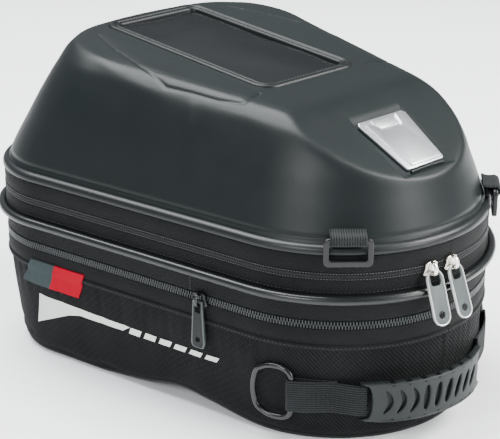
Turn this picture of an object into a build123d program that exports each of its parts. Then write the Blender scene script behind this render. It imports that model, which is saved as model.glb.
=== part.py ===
from build123d import *
import os
from math import asin, cos, radians, sin

# A zip-open, expandable motorcycle tank bag: fabric lower bag on a moulded saddle plate, a collar
# that rises when the expansion zip is opened, and a thermoformed lid hinged at the front.
# Millimetres. +Z up, +Y towards the front of the motorcycle, X = 0 is the plane of symmetry.
# The origin is on the ground under the middle of the whole bag.

# ---- plan outline: one nose arc, two tapered sides, two front corners and a shallow front arc
NOSE_R = 102.0
NOSE_Y = -64.0
TAPER = 11.0
FRONT_CORNER_R = 62.0
FRONT_R = 355.0
FRONT_Y = 181.6

# ---- heights of the stacked bands
PLATE_T = 3.0
SEAM_Z = 72.0
EXPANSION_ZIP_Z = 86.5
PIPING_Z = 105.0
MAIN_ZIP_Z = 120.0
TRIM_Z = 134.0
SHELL_Z = 140.0
DECK_Z = 213.5
DECK_TILT = 3.6

# ---- thicknesses and gaps
FABRIC_T = 2.0
LINING_T = 0.8
SHELL_T = 2.5
ZIP_HALF = 2.0
ZIP_GAP = 0.15
PIPING_R = 3.2
TRAVEL_GAP = 0.3
GUSSET_T, GUSSET_DROP = 0.5, 5.5

# ---- lower bag: offset of the outline at each height, the saddle arch of its plate (y, z),
# and the lower edge of the fabric skirt that hangs round the plate (y, z)
LOWER_SECTIONS = [(SEAM_Z, -0.5), (34.0, -5.0), (10.0, -6.8), (0.0, -10.0)]
SKIRT = [(-100.0, 0.0), (-74.0, 1.5), (-46.0, 7.5), (-22.0, 10.5), (10.0, 4.5), (50.0, 0.0)]
ARCH = [(-100.0, 0.0), (-74.0, 14.0), (-42.0, 27.0), (-8.0, 27.0), (46.0, 16.0), (110.0, 0.0)]
ARCH_END_Y = 215.0
LABEL_TOP_Y, LABEL_FOOT_Y, LABEL_FOOT_Z = (56.0, 83.0, 105.0), (61.0, 88.0, 115.0), 56.0

# ---- reflective print on each side: a long swoosh and a row of shrinking dashes behind it
SWOOSH = [(99, 49), (17, 45.5), (24, 41), (62, 41.5), (73, 38.5), (105, 24)]
PRINT_T = 0.3
DASHES, DASH_START_Y, DASH_STEP, DASH_Z, DASH_HALF_H = 6, 13.0, 13.0, 43.0, 4.2

# ---- lid shell: height, outline offset, cut-back at the front, forward tilt, corner rounding
SHELL_SECTIONS = [
    (SHELL_Z, -2.5, 0.0, 0.0, 0.0),
    (166.0, -12.0, 5.0, 1.0, 5.0),
    (187.0, -20.5, 8.0, 2.0, 12.0),
    (206.0, -31.0, 6.0, 3.3, 22.0),
    (DECK_Z, -43.0, 1.0, DECK_TILT, 32.0),
]

# ---- window in the deck, and the pocket for a telephone under it
WINDOW_Y = 46.0
WINDOW_W, WINDOW_L = 71.0, 156.0
FRAME_W, FRAME_L = 88.0, 172.0
FRAME_T = 3.0
FILM_T = 0.6
POCKET_W, POCKET_L, POCKET_DEPTH = 80.0, 162.0, 11.0
POCKET_T = 1.2

# ---- badge and the sloping nose facet that it lies on
SCOOP_TOP_Y, SCOOP_FOOT_Y = -80.0, -151.0
SCOOP_TOP_Z, SCOOP_FOOT_Z = 208.2, 171.2
SCOOP_W = 240.0
BADGE_TOP_W, BADGE_FOOT_W, BADGE_L, BADGE_T = 44.0, 35.0, 47.0, 3.0
BADGE_FROM_TOP = 45.0

# ---- zip sliders and pullers; a puller turns on an arch that stands out from its slider
SLIDER_ANGLES = {"left": -11.0, "right": -1.5}
SLIDER_L, SLIDER_H, SLIDER_T = 12.5, 9.0, 2.2
ARCH_W, ARCH_FOOT, ARCH_GAP, ARCH_BRIDGE = 3.6, 1.6, 3.4, 1.2
PIVOT_OUT = TRAVEL_GAP + SLIDER_T + ARCH_GAP / 2
PIVOT_DROP = 1.4
PULLER_W, PULLER_L, PULLER_T = 13.0, 36.0, 1.8
PULLER_LEAN = 22.0
EXPANSION_SLIDER_ALONG = 37.0
PULL_TAB_L, PULL_TAB_T = 34.0, 1.8

# ---- straps, rings and handle
STRAP_ANGLE = 42.0
STRAP_W = 23.0
STRAP_RING_W, STRAP_RING_H, STRAP_RING_T = 31.0, 19.0, 3.4
STRAP_PIVOT_R, STRAP_PIVOT_Z = 105.2, 145.5
STRAP_EYE_R, STRAP_LOOP_R = 2.6, 4.1
HANDLE_Z = 35.5
HANDLE_CENTRE = -10.0
GRIP_HALF_ANGLE = 27.5
GRIP_H, GRIP_T, GRIP_END_T = 28.0, 5.0, 3.5
GRIP_END_R, GRIP_MID_R = 105.0, 111.0
GRIP_SLOTS, GRIP_SLOT_STEP, GRIP_SLOT_L, GRIP_SLOT_W = 9, 4.6, 16.0, 4.0
PATCH_END_ANGLE, STRAP_END_ANGLE = 34.5, 29.3
WEBBING_W, WEBBING_T = 22.0, 1.6
WEBBING_OFF = 0.3
D_RING_ANGLES = {"left": -61.0, "right": 50.0}
D_RING_WIRE_R = 2.0
D_RING_BAR, D_RING_H, D_RING_DEPTH = 27.0, 37.0, 28.0
D_RING_OUT = D_RING_WIRE_R + 2.2
D_RING_LEAN = 8.0

# ---- quick-lock ring under the saddle plate
LOCK_Y = -25.0
LOCK_OUTER_R, LOCK_BORE_R = 47.0, 36.0
LOCK_FOOT_Z, LOCK_BORE_TOP_Z = 8.0, 16.0
LATCH_W, LATCH_T, LATCH_SET_BACK = 22.0, 3.0, 0.2
LATCH_Z = 13.2
LATCH_TAIL = 8.6
TAB_W, TAB_L, TAB_T = 10.0, 24.0, 1.6
SCREW_R, SCREW_HOLE_R, SCREW_HEAD_R, SCREW_HEAD_T = 1.6, 1.7, 3.4, 2.2
SCREW_PCD = 66.0
BACKING_W, BACKING_TOP_Z = 12.0, 36.05

SIDES = {"left": -1, "right": 1}
OUT = "parts"


# ================================================================ shared geometry
def corner_angle(front_y, corner):
    """Angle, from straight ahead, at which a front corner arc of that radius meets the front arc."""
    side = NOSE_R - NOSE_Y * sin(radians(TAPER))
    centre_y = front_y - FRONT_R
    reach = side - corner + centre_y * sin(radians(TAPER))
    return radians(TAPER) + asin(reach / (FRONT_R - corner))


def outline(offset, front_inset=0.0, rounding=0.0):
    """Closed plan outline at z = 0, grown by offset; its front is pulled back and its corners eased."""
    taper = radians(TAPER)
    front_y = FRONT_Y - front_inset
    corner_base = FRONT_CORNER_R + rounding
    turn = corner_angle(front_y, corner_base)
    nose_r = NOSE_R + offset
    corner_r = corner_base + offset
    reach = FRONT_R - corner_base
    corner = (reach * sin(turn), front_y - FRONT_R + reach * cos(turn))
    middle = (radians(90) - taper + radians(180) - turn) / 2

    def right_half():
        nose_end = (nose_r * cos(taper), NOSE_Y - nose_r * sin(taper))
        side_end = (corner[0] + corner_r * cos(taper), corner[1] - corner_r * sin(taper))
        corner_mid = (corner[0] + corner_r * sin(middle), corner[1] - corner_r * cos(middle))
        corner_end = (corner[0] + corner_r * sin(turn), corner[1] + corner_r * cos(turn))
        return nose_end, side_end, corner_mid, corner_end

    right = right_half()
    left = [(-x, y) for x, y in right]
    return Wire([
        ThreePointArc(left[0], (0, NOSE_Y - nose_r), right[0]),
        Line(right[0], right[1]),
        ThreePointArc(right[1], right[2], right[3]),
        ThreePointArc(right[3], (0, front_y + offset), left[3]),
        ThreePointArc(left[3], left[2], left[1]),
        Line(left[1], left[0]),
    ])


def prism(offset, low, high):
    """Solid between two heights with the plan outline grown by offset."""
    return extrude(Pos(0, 0, low) * make_face(outline(offset)), amount=high - low)


def band(outer, inner, low, high):
    """Hoop that follows the plan outline between two offsets and two heights."""
    return prism(outer, low, high) - prism(inner, low, high)


def lofted(sections):
    """Ruled solid through outlines given as (height, offset, front inset, tilt, corner rounding)."""
    faces = [
        Pos(0, 0, z) * Rot(tilt, 0, 0) * make_face(outline(offset, inset, rounding))
        for z, offset, inset, tilt, rounding in sections
    ]
    return loft(faces, ruled=True)


def lower_form(grow):
    """Outer form of the lower bag, grown by grow."""
    return lofted([(z, offset + grow, 0.0, 0.0, 0.0) for z, offset in reversed(LOWER_SECTIONS)])


def shell_form(inset):
    """Outer form of the lid shell, shrunk by inset on its sides and top."""
    drops = [0.0, 0.0, 0.0, 0.5 * inset, inset]
    return lofted([
        (z - drop, offset - inset, front, tilt, rounding)
        for (z, offset, front, tilt, rounding), drop in zip(SHELL_SECTIONS, drops)
    ])


def arch_block(lift, knots=ARCH):
    """Everything below an arch, the saddle arch unless stated, raised by lift."""
    floor = -10.0
    points = [(y, z + lift) for y, z in knots]
    curve = Spline(points, tangents=[(1, 0), (1, 0)])
    start = (-ARCH_END_Y, lift)
    end = (ARCH_END_Y, lift)
    wire = Wire([
        Line(start, points[0]),
        curve,
        Line(points[-1], end),
        Line(end, (ARCH_END_Y, floor)),
        Line((ARCH_END_Y, floor), (-ARCH_END_Y, floor)),
        Line((-ARCH_END_Y, floor), start),
    ])
    return extrude(Plane.YZ * make_face(wire), amount=170, both=True)


def nose_plane(angle, radius, z):
    """Plane on the nose arc: local x runs round the nose, y is up and z points outwards."""
    a = radians(angle)
    origin = (radius * sin(a), NOSE_Y - radius * cos(a), z)
    return Plane(origin=origin, x_dir=(cos(a), sin(a), 0), z_dir=(sin(a), -cos(a), 0))


def side_plane(side, along, offset, z):
    """Plane on a straight side, along millimetres ahead of the nose arc's end."""
    start = nose_plane(side * (90 - TAPER), NOSE_R + offset, z)
    return Plane(origin=start.origin + start.x_dir * (side * along), x_dir=start.x_dir, z_dir=start.z_dir)


def deck(x=0.0, y=0.0, z=0.0):
    """Location on the tilted deck plane of the lid."""
    return Pos(0, 0, DECK_Z) * Rot(DECK_TILT, 0, 0) * Pos(x, y, z)


def rounded_block(width, length, height, radius):
    """Upright block with rounded corners, standing on z = 0."""
    return extrude(RectangleRounded(width, length, radius), amount=height)


def shell_offset(z):
    """Offset of the shell's outer face at the nose, at height z."""
    lean = [(h - (NOSE_R + o - NOSE_Y) * sin(radians(t)), o) for h, o, _, t, _ in SHELL_SECTIONS]
    for (low, start), (high, end) in zip(lean, lean[1:]):
        if z <= high:
            return start + (end - start) * (z - low) / (high - low)
    return lean[-1][1]


# ================================================================ lower bag
def lower_wall():
    wall = lower_form(0.0) - lower_form(-FABRIC_T)
    return wall - arch_block(0.0, SKIRT)


def base_plate():
    plate = lower_form(-FABRIC_T - 0.1) & (arch_block(PLATE_T) - arch_block(0.0))
    return plate - lock_holes(SCREW_HOLE_R)


def bottom_board():
    board = lower_form(-FABRIC_T - 4.0) & (arch_block(PLATE_T + 2.6) - arch_block(PLATE_T + 0.1))
    return board - lock_holes(SCREW_HOLE_R)


def lower_lining():
    outside = -FABRIC_T - 2.6
    inside = outside - LINING_T
    floor = PLATE_T + 2.8
    tub = lower_form(outside) - (lower_form(inside) - arch_block(floor + LINING_T))
    return tub - arch_block(floor) - Pos(0, LOCK_Y, 30) * Cylinder(SCREW_PCD / 2 + 8, 30)


def rim_band():
    return band(0.0, -FABRIC_T, SEAM_Z + 0.05, EXPANSION_ZIP_Z - ZIP_HALF)


def zip_half(zip_z, upper):
    """One side of a closed zip: its tape edge and teeth, as a plain hoop."""
    if upper:
        return band(-0.2, -1.8, zip_z + ZIP_GAP, zip_z + ZIP_HALF)
    return band(-0.2, -1.8, zip_z - ZIP_HALF, zip_z - ZIP_GAP)


def expansion_gusset():
    """Spare fabric folded double inside the rim, paid out when the collar rises."""
    outer, inner = -FABRIC_T - 1.4, -FABRIC_T - 3.0
    low, high = SEAM_Z - GUSSET_DROP, EXPANSION_ZIP_Z - ZIP_GAP
    return band(outer, inner, low, high) - band(outer - GUSSET_T, inner + GUSSET_T, low + GUSSET_T, high)


def side_patch(side, thickness, points):
    """Thin piece lying on a side of the lower wall, cut to an outline in y and z."""
    skin = lower_form(thickness + 0.02) - lower_form(0.02)
    cutter = extrude(Plane.YZ * make_face(Polyline(*points, close=True)), amount=side * 170)
    return skin & cutter


def side_label(index, gap):
    """One half of the slanted woven label that hangs from the seam on the left side."""
    rear_top, front_top = LABEL_TOP_Y[index], LABEL_TOP_Y[index + 1] - gap
    rear_foot, front_foot = LABEL_FOOT_Y[index], LABEL_FOOT_Y[index + 1] - gap
    top = SEAM_Z - 0.1
    return side_patch(-1, 1.2, [
        (rear_foot, LABEL_FOOT_Z), (front_foot, LABEL_FOOT_Z), (front_top, top), (rear_top, top)])


def reflective_print(side):
    stripes = side_patch(side, PRINT_T, SWOOSH)
    for index in range(DASHES):
        y = DASH_START_Y - DASH_STEP * index
        half_h = DASH_HALF_H - 0.35 * index
        dash = [
            (y + 5.5, DASH_Z + half_h),
            (y - 3.0, DASH_Z + half_h),
            (y - 6.5, DASH_Z - half_h),
            (y + 2.0, DASH_Z - half_h),
        ]
        stripes += side_patch(side, PRINT_T, dash)
    return stripes


# ================================================================ quick lock
def lock_holes(radius):
    """Four clearance holes for the screws that hold the lock housing."""
    holes = Pos(0, LOCK_Y, 20) * PolarLocations(SCREW_PCD / 2, 4, start_angle=45)
    return Part() + [place * Cylinder(radius, 60) for place in holes]


def lock_housing():
    """Round socket under the plate that drops over the ring on the fuel filler."""
    block = Pos(0, LOCK_Y, LOCK_FOOT_Z) * Cylinder(
        LOCK_OUTER_R, 30, align=(Align.CENTER, Align.CENTER, Align.MIN))
    block &= arch_block(-0.05)
    bore = Pos(0, LOCK_Y, LOCK_FOOT_Z - 1) * Cylinder(
        LOCK_BORE_R, LOCK_BORE_TOP_Z - LOCK_FOOT_Z + 1, align=(Align.CENTER, Align.CENTER, Align.MIN))
    slot_l = LOCK_OUTER_R - LOCK_BORE_R + 20
    slot_x = -LOCK_BORE_R - slot_l / 2 + 8
    slot = Pos(slot_x, LOCK_Y, LATCH_Z) * Box(slot_l, LATCH_W + 0.8, LATCH_T + 0.8)
    return block - bore - slot - lock_holes(SCREW_HOLE_R)


def lock_latch():
    """Sliding bolt, drawn back to the bore's edge; pushed in, it catches the filler ring's lip."""
    tip_x = -LOCK_BORE_R - LATCH_SET_BACK
    tail_x = -LOCK_OUTER_R - LATCH_TAIL
    plate = Pos((tip_x + tail_x) / 2, LOCK_Y, LATCH_Z) * Box(tip_x - tail_x, LATCH_W, LATCH_T)
    eye = Pos(tail_x + 3.2, LOCK_Y, LATCH_Z) * Box(2.6, TAB_W + 2, LATCH_T + 2)
    return plate - eye


def release_tab():
    """Webbing tab looped through the latch's eye."""
    loop_x = -LOCK_OUTER_R - LATCH_TAIL + 3.2
    loop_h = LATCH_T + 2 * TAB_T + 0.2
    shift = (loop_h - TAB_T) / 2
    loop = Pos(loop_x, LOCK_Y, LATCH_Z) * Box(2.0, TAB_W, loop_h)
    plies = Part()
    for side in (-1, 1):
        plies += Pos(loop_x - TAB_L / 2, LOCK_Y, LATCH_Z + side * shift) * Box(TAB_L, TAB_W, TAB_T)
    tail = Pos(loop_x - TAB_L - 3, LOCK_Y, LATCH_Z) * Box(8, TAB_W, loop_h)
    return loop + plies + tail


def lock_screws():
    """Four pan-head screws, heads inside the bag."""
    shank_l = BACKING_TOP_Z - LOCK_BORE_TOP_Z - 2.0
    screw = Cylinder(SCREW_HEAD_R, SCREW_HEAD_T, align=(Align.CENTER, Align.CENTER, Align.MIN))
    screw += Cylinder(SCREW_R, shank_l, align=(Align.CENTER, Align.CENTER, Align.MAX))
    ring = Pos(0, LOCK_Y, BACKING_TOP_Z) * PolarLocations(SCREW_PCD / 2, 4, start_angle=45)
    return Part() + [place * screw for place in ring]


def backing_ring():
    """Flat ring inside the bag that spreads the load of the lock screws."""
    low = 20.0
    middle = Pos(0, LOCK_Y, (low + BACKING_TOP_Z) / 2)
    ring = middle * Cylinder((SCREW_PCD + BACKING_W) / 2, BACKING_TOP_Z - low)
    ring -= middle * Cylinder((SCREW_PCD - BACKING_W) / 2, BACKING_TOP_Z - low)
    return ring - arch_block(PLATE_T + 2.7) - lock_holes(SCREW_HOLE_R)


# ================================================================ collar
def collar_band():
    return band(0.0, -FABRIC_T, EXPANSION_ZIP_Z + ZIP_HALF, MAIN_ZIP_Z - ZIP_HALF)


def collar_piping():
    """Round glossy piping that runs all round the collar."""
    path = Pos(0, 0, PIPING_Z) * outline(PIPING_R + 0.05)
    start = Plane(origin=path @ 0, z_dir=path % 0)
    return sweep(start * Circle(PIPING_R), path=path)


def collar_lining():
    return band(-FABRIC_T - 0.3, -FABRIC_T - 0.3 - LINING_T, EXPANSION_ZIP_Z + 1.0, MAIN_ZIP_Z - 1.0)


# ================================================================ sliders and pullers
def slider_body():
    """Zip slider on its local plane: a wedge plate with an arch that holds the puller."""
    plate = rounded_block(SLIDER_L, SLIDER_H, SLIDER_T, 2.5)
    arch = Pos(0, 0, SLIDER_T + (ARCH_GAP + ARCH_BRIDGE) / 2) * Box(ARCH_W, SLIDER_H, ARCH_GAP + ARCH_BRIDGE)
    arch -= Pos(0, 0, SLIDER_T + ARCH_GAP / 2) * Box(ARCH_W + 1, SLIDER_H - 2 * ARCH_FOOT, ARCH_GAP)
    return Pos(0, 0, TRAVEL_GAP) * (plate + arch)


def main_slider(name):
    return nose_plane(SLIDER_ANGLES[name], NOSE_R, MAIN_ZIP_Z).location * slider_body()


def puller_blank():
    """Flat puller hanging from its top bar: a grip plate with a D window and a round hole."""
    body = Pos(0, 1.0 - PULLER_L / 2) * SlotOverall(PULLER_L, PULLER_W, rotation=90)
    window = Pos(0, -5.2) * RectangleRounded(8.0, 8.4, 2.2)
    hole = Pos(0, 8.0 - PULLER_L) * Circle(2.3)
    return extrude(body - window - hole, amount=PULLER_T / 2, both=True)


def main_puller(name):
    plane = nose_plane(SLIDER_ANGLES[name], NOSE_R + PIVOT_OUT, MAIN_ZIP_Z - PIVOT_DROP)
    return plane.location * Rot(-PULLER_LEAN, 0, 0) * puller_blank()


def expansion_slider():
    return side_plane(-1, EXPANSION_SLIDER_ALONG, 0.0, EXPANSION_ZIP_Z).location * slider_body()


def expansion_pull():
    """Tapered rubber pull with an eye for the slider's arch and a round hole at its foot."""
    plane = side_plane(-1, EXPANSION_SLIDER_ALONG, PIVOT_OUT, EXPANSION_ZIP_Z - PIVOT_DROP)
    foot = 1.0 - PULL_TAB_L
    body = make_face(Polyline(
        (-3.6, 1.0), (3.6, 1.0), (5.6, foot + 2), (3.6, foot), (-3.6, foot), (-5.6, foot + 2), close=True))
    window = Pos(0, -4.3) * Rectangle(4.6, 6.6)
    hole = Pos(0, foot + 6) * Circle(1.8)
    return plane.location * extrude(body - window - hole, amount=PULL_TAB_T / 2, both=True)


# ================================================================ lid
def top_shell():
    shell = shell_form(0.0) - Pos(0, 0, -0.01) * shell_form(SHELL_T)
    skirt = scoop_cut(0.0)
    scoop_skin = (scoop_cut(SHELL_T) - skirt) & shell_form(0.0)
    opening = deck(0, WINDOW_Y, -20) * rounded_block(WINDOW_W + 8, WINDOW_L + 8, 40, 8)
    return (shell - skirt) + (scoop_skin - opening) - opening


def scoop_cut(grow):
    """Wedge above the sloping nose facet, grown by grow below and to both sides."""
    run = SCOOP_TOP_Y - SCOOP_FOOT_Y
    rise = SCOOP_TOP_Z - SCOOP_FOOT_Z
    slope = (run**2 + rise**2) ** 0.5
    drop = grow * slope / run
    points = [
        (SCOOP_TOP_Y, SCOOP_TOP_Z - drop),
        (SCOOP_FOOT_Y - 30, SCOOP_FOOT_Z - drop - 30 * rise / run),
        (SCOOP_FOOT_Y - 30, DECK_Z + 30),
        (SCOOP_TOP_Y, DECK_Z + 30),
    ]
    cutter = extrude(Plane.YZ * make_face(Polyline(*points, close=True)),
                     amount=SCOOP_W / 2 + grow, both=True)
    return cutter


def trim_strip():
    """Rubberised strip that covers the joint between the shell and the lid's fabric band."""
    outer = lofted([(TRIM_Z, 1.0, 0, 0, 0), (SHELL_Z, -2.0, 0, 0, 0)])
    inner = lofted([(TRIM_Z, -2.5, 0, 0, 0), (SHELL_Z, -5.5, 0, 0, 0)])
    return outer - inner


def lid_band():
    return band(0.0, -FABRIC_T, MAIN_ZIP_Z + ZIP_HALF, TRIM_Z - 0.05)


def lid_hinge_tape():
    """Fabric strip over the front of the main zip; it is the lid's hinge."""
    strip = band(1.1, 0.1, MAIN_ZIP_Z + 0.4, TRIM_Z - 1.0)
    return strip & Pos(0, FRONT_Y, MAIN_ZIP_Z) * Box(110, 40, 60)


def lid_lining():
    """Thin lining under the shell, with a hole where the telephone pocket hangs through."""
    lining = shell_form(SHELL_T + 0.6) - shell_form(SHELL_T + 0.6 + LINING_T)
    lining -= scoop_cut(SHELL_T + 0.6)
    skin = (scoop_cut(SHELL_T + 0.6 + LINING_T) - scoop_cut(SHELL_T + 0.6)) & shell_form(SHELL_T + 0.6)
    hole = deck(0, WINDOW_Y, -20) * rounded_block(POCKET_W + 0.4, POCKET_L + 0.4, 40, 4.2)
    base = Pos(0, 0, SHELL_Z - 0.05) * Box(400, 500, 0.2)
    return lining + skin - hole - base


def window_frame():
    """Raised rim round the clear window."""
    rim = deck(0, WINDOW_Y, 0.05) * (
        rounded_block(FRAME_W, FRAME_L, FRAME_T, 12) - rounded_block(WINDOW_W, WINDOW_L, FRAME_T, 6))
    return rim


def window_film():
    return deck(0, WINDOW_Y, -FILM_T - 0.05) * rounded_block(WINDOW_W + 7, WINDOW_L + 7, FILM_T, 7)


def phone_pocket():
    """Shallow tray under the film, open towards the rider so that a telephone slides in."""
    outside = rounded_block(POCKET_W, POCKET_L, POCKET_DEPTH, 4)
    inside = Pos(0, -4, POCKET_T) * rounded_block(
        POCKET_W - 2 * POCKET_T, POCKET_L + 6, POCKET_DEPTH, 2)
    return deck(0, WINDOW_Y, -SHELL_T - 0.8 - POCKET_DEPTH) * (outside - inside)


def badge_plate():
    """Tapered badge plate with a stepped top, lying on the nose facet."""
    run = SCOOP_TOP_Y - SCOOP_FOOT_Y
    rise = SCOOP_TOP_Z - SCOOP_FOOT_Z
    slope = (run**2 + rise**2) ** 0.5
    up = (0, run / slope, rise / slope)
    origin = (
        0,
        SCOOP_FOOT_Y + up[1] * (slope - BADGE_FROM_TOP),
        SCOOP_FOOT_Z + up[2] * (slope - BADGE_FROM_TOP),
    )
    plane = Plane(origin=origin, x_dir=(1, 0, 0), z_dir=(0, -up[2], up[1])).offset(0.1)
    half_top, half_foot, half_l = BADGE_TOP_W / 2, BADGE_FOOT_W / 2, BADGE_L / 2
    sketch = make_face(Polyline(
        (-half_foot, -half_l), (half_foot, -half_l), (half_top, half_l - 7), (half_top - 6, half_l),
        (-half_top, half_l), close=True))
    return extrude(plane * sketch, amount=BADGE_T)


def strap_loop(side):
    """Webbing tab on the shell's foot, folded round the top bar of its ring."""
    foot_z, head_z = SHELL_Z + 4, SHELL_Z + 11
    foot_r = NOSE_R + shell_offset(foot_z) + 0.6
    head_r = NOSE_R + shell_offset(head_z) + 0.6
    tab = make_face(Polyline(
        (foot_r, foot_z), (foot_r + 2.6, foot_z), (STRAP_PIVOT_R, STRAP_PIVOT_Z + STRAP_LOOP_R),
        (head_r + 1.8, head_z), (head_r, head_z), close=True))
    eye = Pos(STRAP_PIVOT_R, STRAP_PIVOT_Z) * Circle(STRAP_LOOP_R)
    bore = Pos(STRAP_PIVOT_R, STRAP_PIVOT_Z) * Circle(STRAP_EYE_R)
    a = radians(side * STRAP_ANGLE)
    upright = Plane(origin=(0, NOSE_Y, 0), x_dir=(sin(a), -cos(a), 0), z_dir=(-cos(a), -sin(a), 0))
    loop = extrude(upright * (tab + eye - bore), amount=STRAP_W / 2, both=True)
    return loop - prism(1.4, TRIM_Z - 2, SHELL_Z + 0.3)


def strap_ring(side):
    """Rectangular ring that hangs from a strap loop."""
    plane = nose_plane(side * STRAP_ANGLE, STRAP_PIVOT_R, STRAP_PIVOT_Z)
    bar = STRAP_RING_T / 2
    outer = Pos(0, bar - STRAP_RING_H / 2) * RectangleRounded(STRAP_RING_W, STRAP_RING_H, 3.5)
    hole_h = STRAP_RING_H - 2 * STRAP_RING_T - 1.0
    hole = Pos(0, bar - STRAP_RING_T - hole_h / 2) * RectangleRounded(STRAP_W + 0.8, hole_h, 1.2)
    ring = extrude(outer - hole, amount=bar, both=True)
    return plane.location * chamfer(ring.edges().filter_by(Axis.X).group_by(Axis.Y)[-1], 1.0)


# ================================================================ handle and D-rings
def wall_radius(z):
    """Outer radius of the lower wall at the nose, at height z."""
    for (high, outer), (low, inner) in zip(LOWER_SECTIONS, LOWER_SECTIONS[1:]):
        if low <= z <= high:
            return NOSE_R + inner + (outer - inner) * (z - low) / (high - low)
    return NOSE_R


def round_nose(angle, radius):
    """Point in plan on a circle round the nose arc's centre."""
    a = radians(angle)
    return (radius * sin(a), NOSE_Y - radius * cos(a))


def arc_strip(start, end, inner_r, thickness, height):
    """Strip bent round the nose between two angles, centred on the handle's height."""
    mid = (start + end) / 2
    outer_r = inner_r + thickness
    wire = Wire([
        ThreePointArc(round_nose(start, inner_r), round_nose(mid, inner_r), round_nose(end, inner_r)),
        Line(round_nose(end, inner_r), round_nose(end, outer_r)),
        ThreePointArc(round_nose(end, outer_r), round_nose(mid, outer_r), round_nose(start, outer_r)),
        Line(round_nose(start, outer_r), round_nose(start, inner_r)),
    ])
    return extrude(Pos(0, 0, HANDLE_Z - height / 2) * make_face(wire), amount=height)


def webbing_radius():
    """Inner radius of the webbing that is stitched to the wall."""
    return wall_radius(HANDLE_Z + WEBBING_W / 2) + WEBBING_OFF


def handle_patch(side, name):
    """Webbing box-stitched to the wall, with a loop at its outer end round the D-ring's bar."""
    ring_angle = D_RING_ANGLES[name]
    inner_end = HANDLE_CENTRE + side * PATCH_END_ANGLE
    strip = arc_strip(ring_angle, inner_end, webbing_radius(), 2 * WEBBING_T, WEBBING_W)
    turn = nose_plane(ring_angle, webbing_radius() + D_RING_OUT, HANDLE_Z).location * Rot(90, 0, 0)
    loop = turn * Cylinder(D_RING_WIRE_R + 2.0, WEBBING_W)
    bore = turn * Cylinder(D_RING_WIRE_R + 0.35, WEBBING_W + 2)
    return strip + loop - bore


def d_ring(name):
    """Round-wire D-ring standing on its straight bar, curved side away from the handle."""
    plane = nose_plane(D_RING_ANGLES[name], webbing_radius() + D_RING_OUT, HANDLE_Z)
    away = SIDES[name]
    half_bar, half_h = D_RING_BAR / 2, D_RING_H / 2
    corners = [
        (0, -half_bar), (0, half_bar),
        (away * 0.40 * D_RING_DEPTH, half_h), (away * D_RING_DEPTH, 0.62 * half_h),
        (away * D_RING_DEPTH, -0.62 * half_h), (away * 0.40 * D_RING_DEPTH, -half_h),
    ]
    path = FilletPolyline(*corners, radius=[3.0, 3.0, 9.0, 10.0, 10.0, 9.0], close=True)
    start = Plane(origin=path @ 0.01, z_dir=path % 0.01)
    ring = sweep(start * Circle(D_RING_WIRE_R), path=path)
    return plane.location * Rot(0, away * D_RING_LEAN, 0) * ring


def handle_strap(side):
    """Webbing between the stitched patch and the grip; its last few millimetres flex."""
    start = HANDLE_CENTRE + side * PATCH_END_ANGLE
    end = HANDLE_CENTRE + side * STRAP_END_ANGLE
    return arc_strip(start, end, webbing_radius() + 2 * WEBBING_T, WEBBING_T, WEBBING_W)


def handle_grip():
    """Moulded rubber grip, bowed out from the nose to leave room for the fingers."""
    left, right = HANDLE_CENTRE - GRIP_HALF_ANGLE, HANDLE_CENTRE + GRIP_HALF_ANGLE
    end_out, mid_out = GRIP_END_R + GRIP_END_T, GRIP_MID_R + GRIP_T
    wire = Wire([
        ThreePointArc(round_nose(left, GRIP_END_R), round_nose(HANDLE_CENTRE, GRIP_MID_R),
                      round_nose(right, GRIP_END_R)),
        Line(round_nose(right, GRIP_END_R), round_nose(right, end_out)),
        ThreePointArc(round_nose(right, end_out), round_nose(HANDLE_CENTRE, mid_out),
                      round_nose(left, end_out)),
        Line(round_nose(left, end_out), round_nose(left, GRIP_END_R)),
    ])
    grip = extrude(Pos(0, 0, HANDLE_Z - GRIP_H / 2) * make_face(wire), amount=GRIP_H)
    for index in range(GRIP_SLOTS):
        angle = HANDLE_CENTRE + (index - (GRIP_SLOTS - 1) / 2) * GRIP_SLOT_STEP
        slot = extrude(SlotOverall(GRIP_SLOT_L, GRIP_SLOT_W, rotation=90), amount=20, both=True)
        grip -= nose_plane(angle, GRIP_MID_R, HANDLE_Z).location * slot
    return grip


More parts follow.
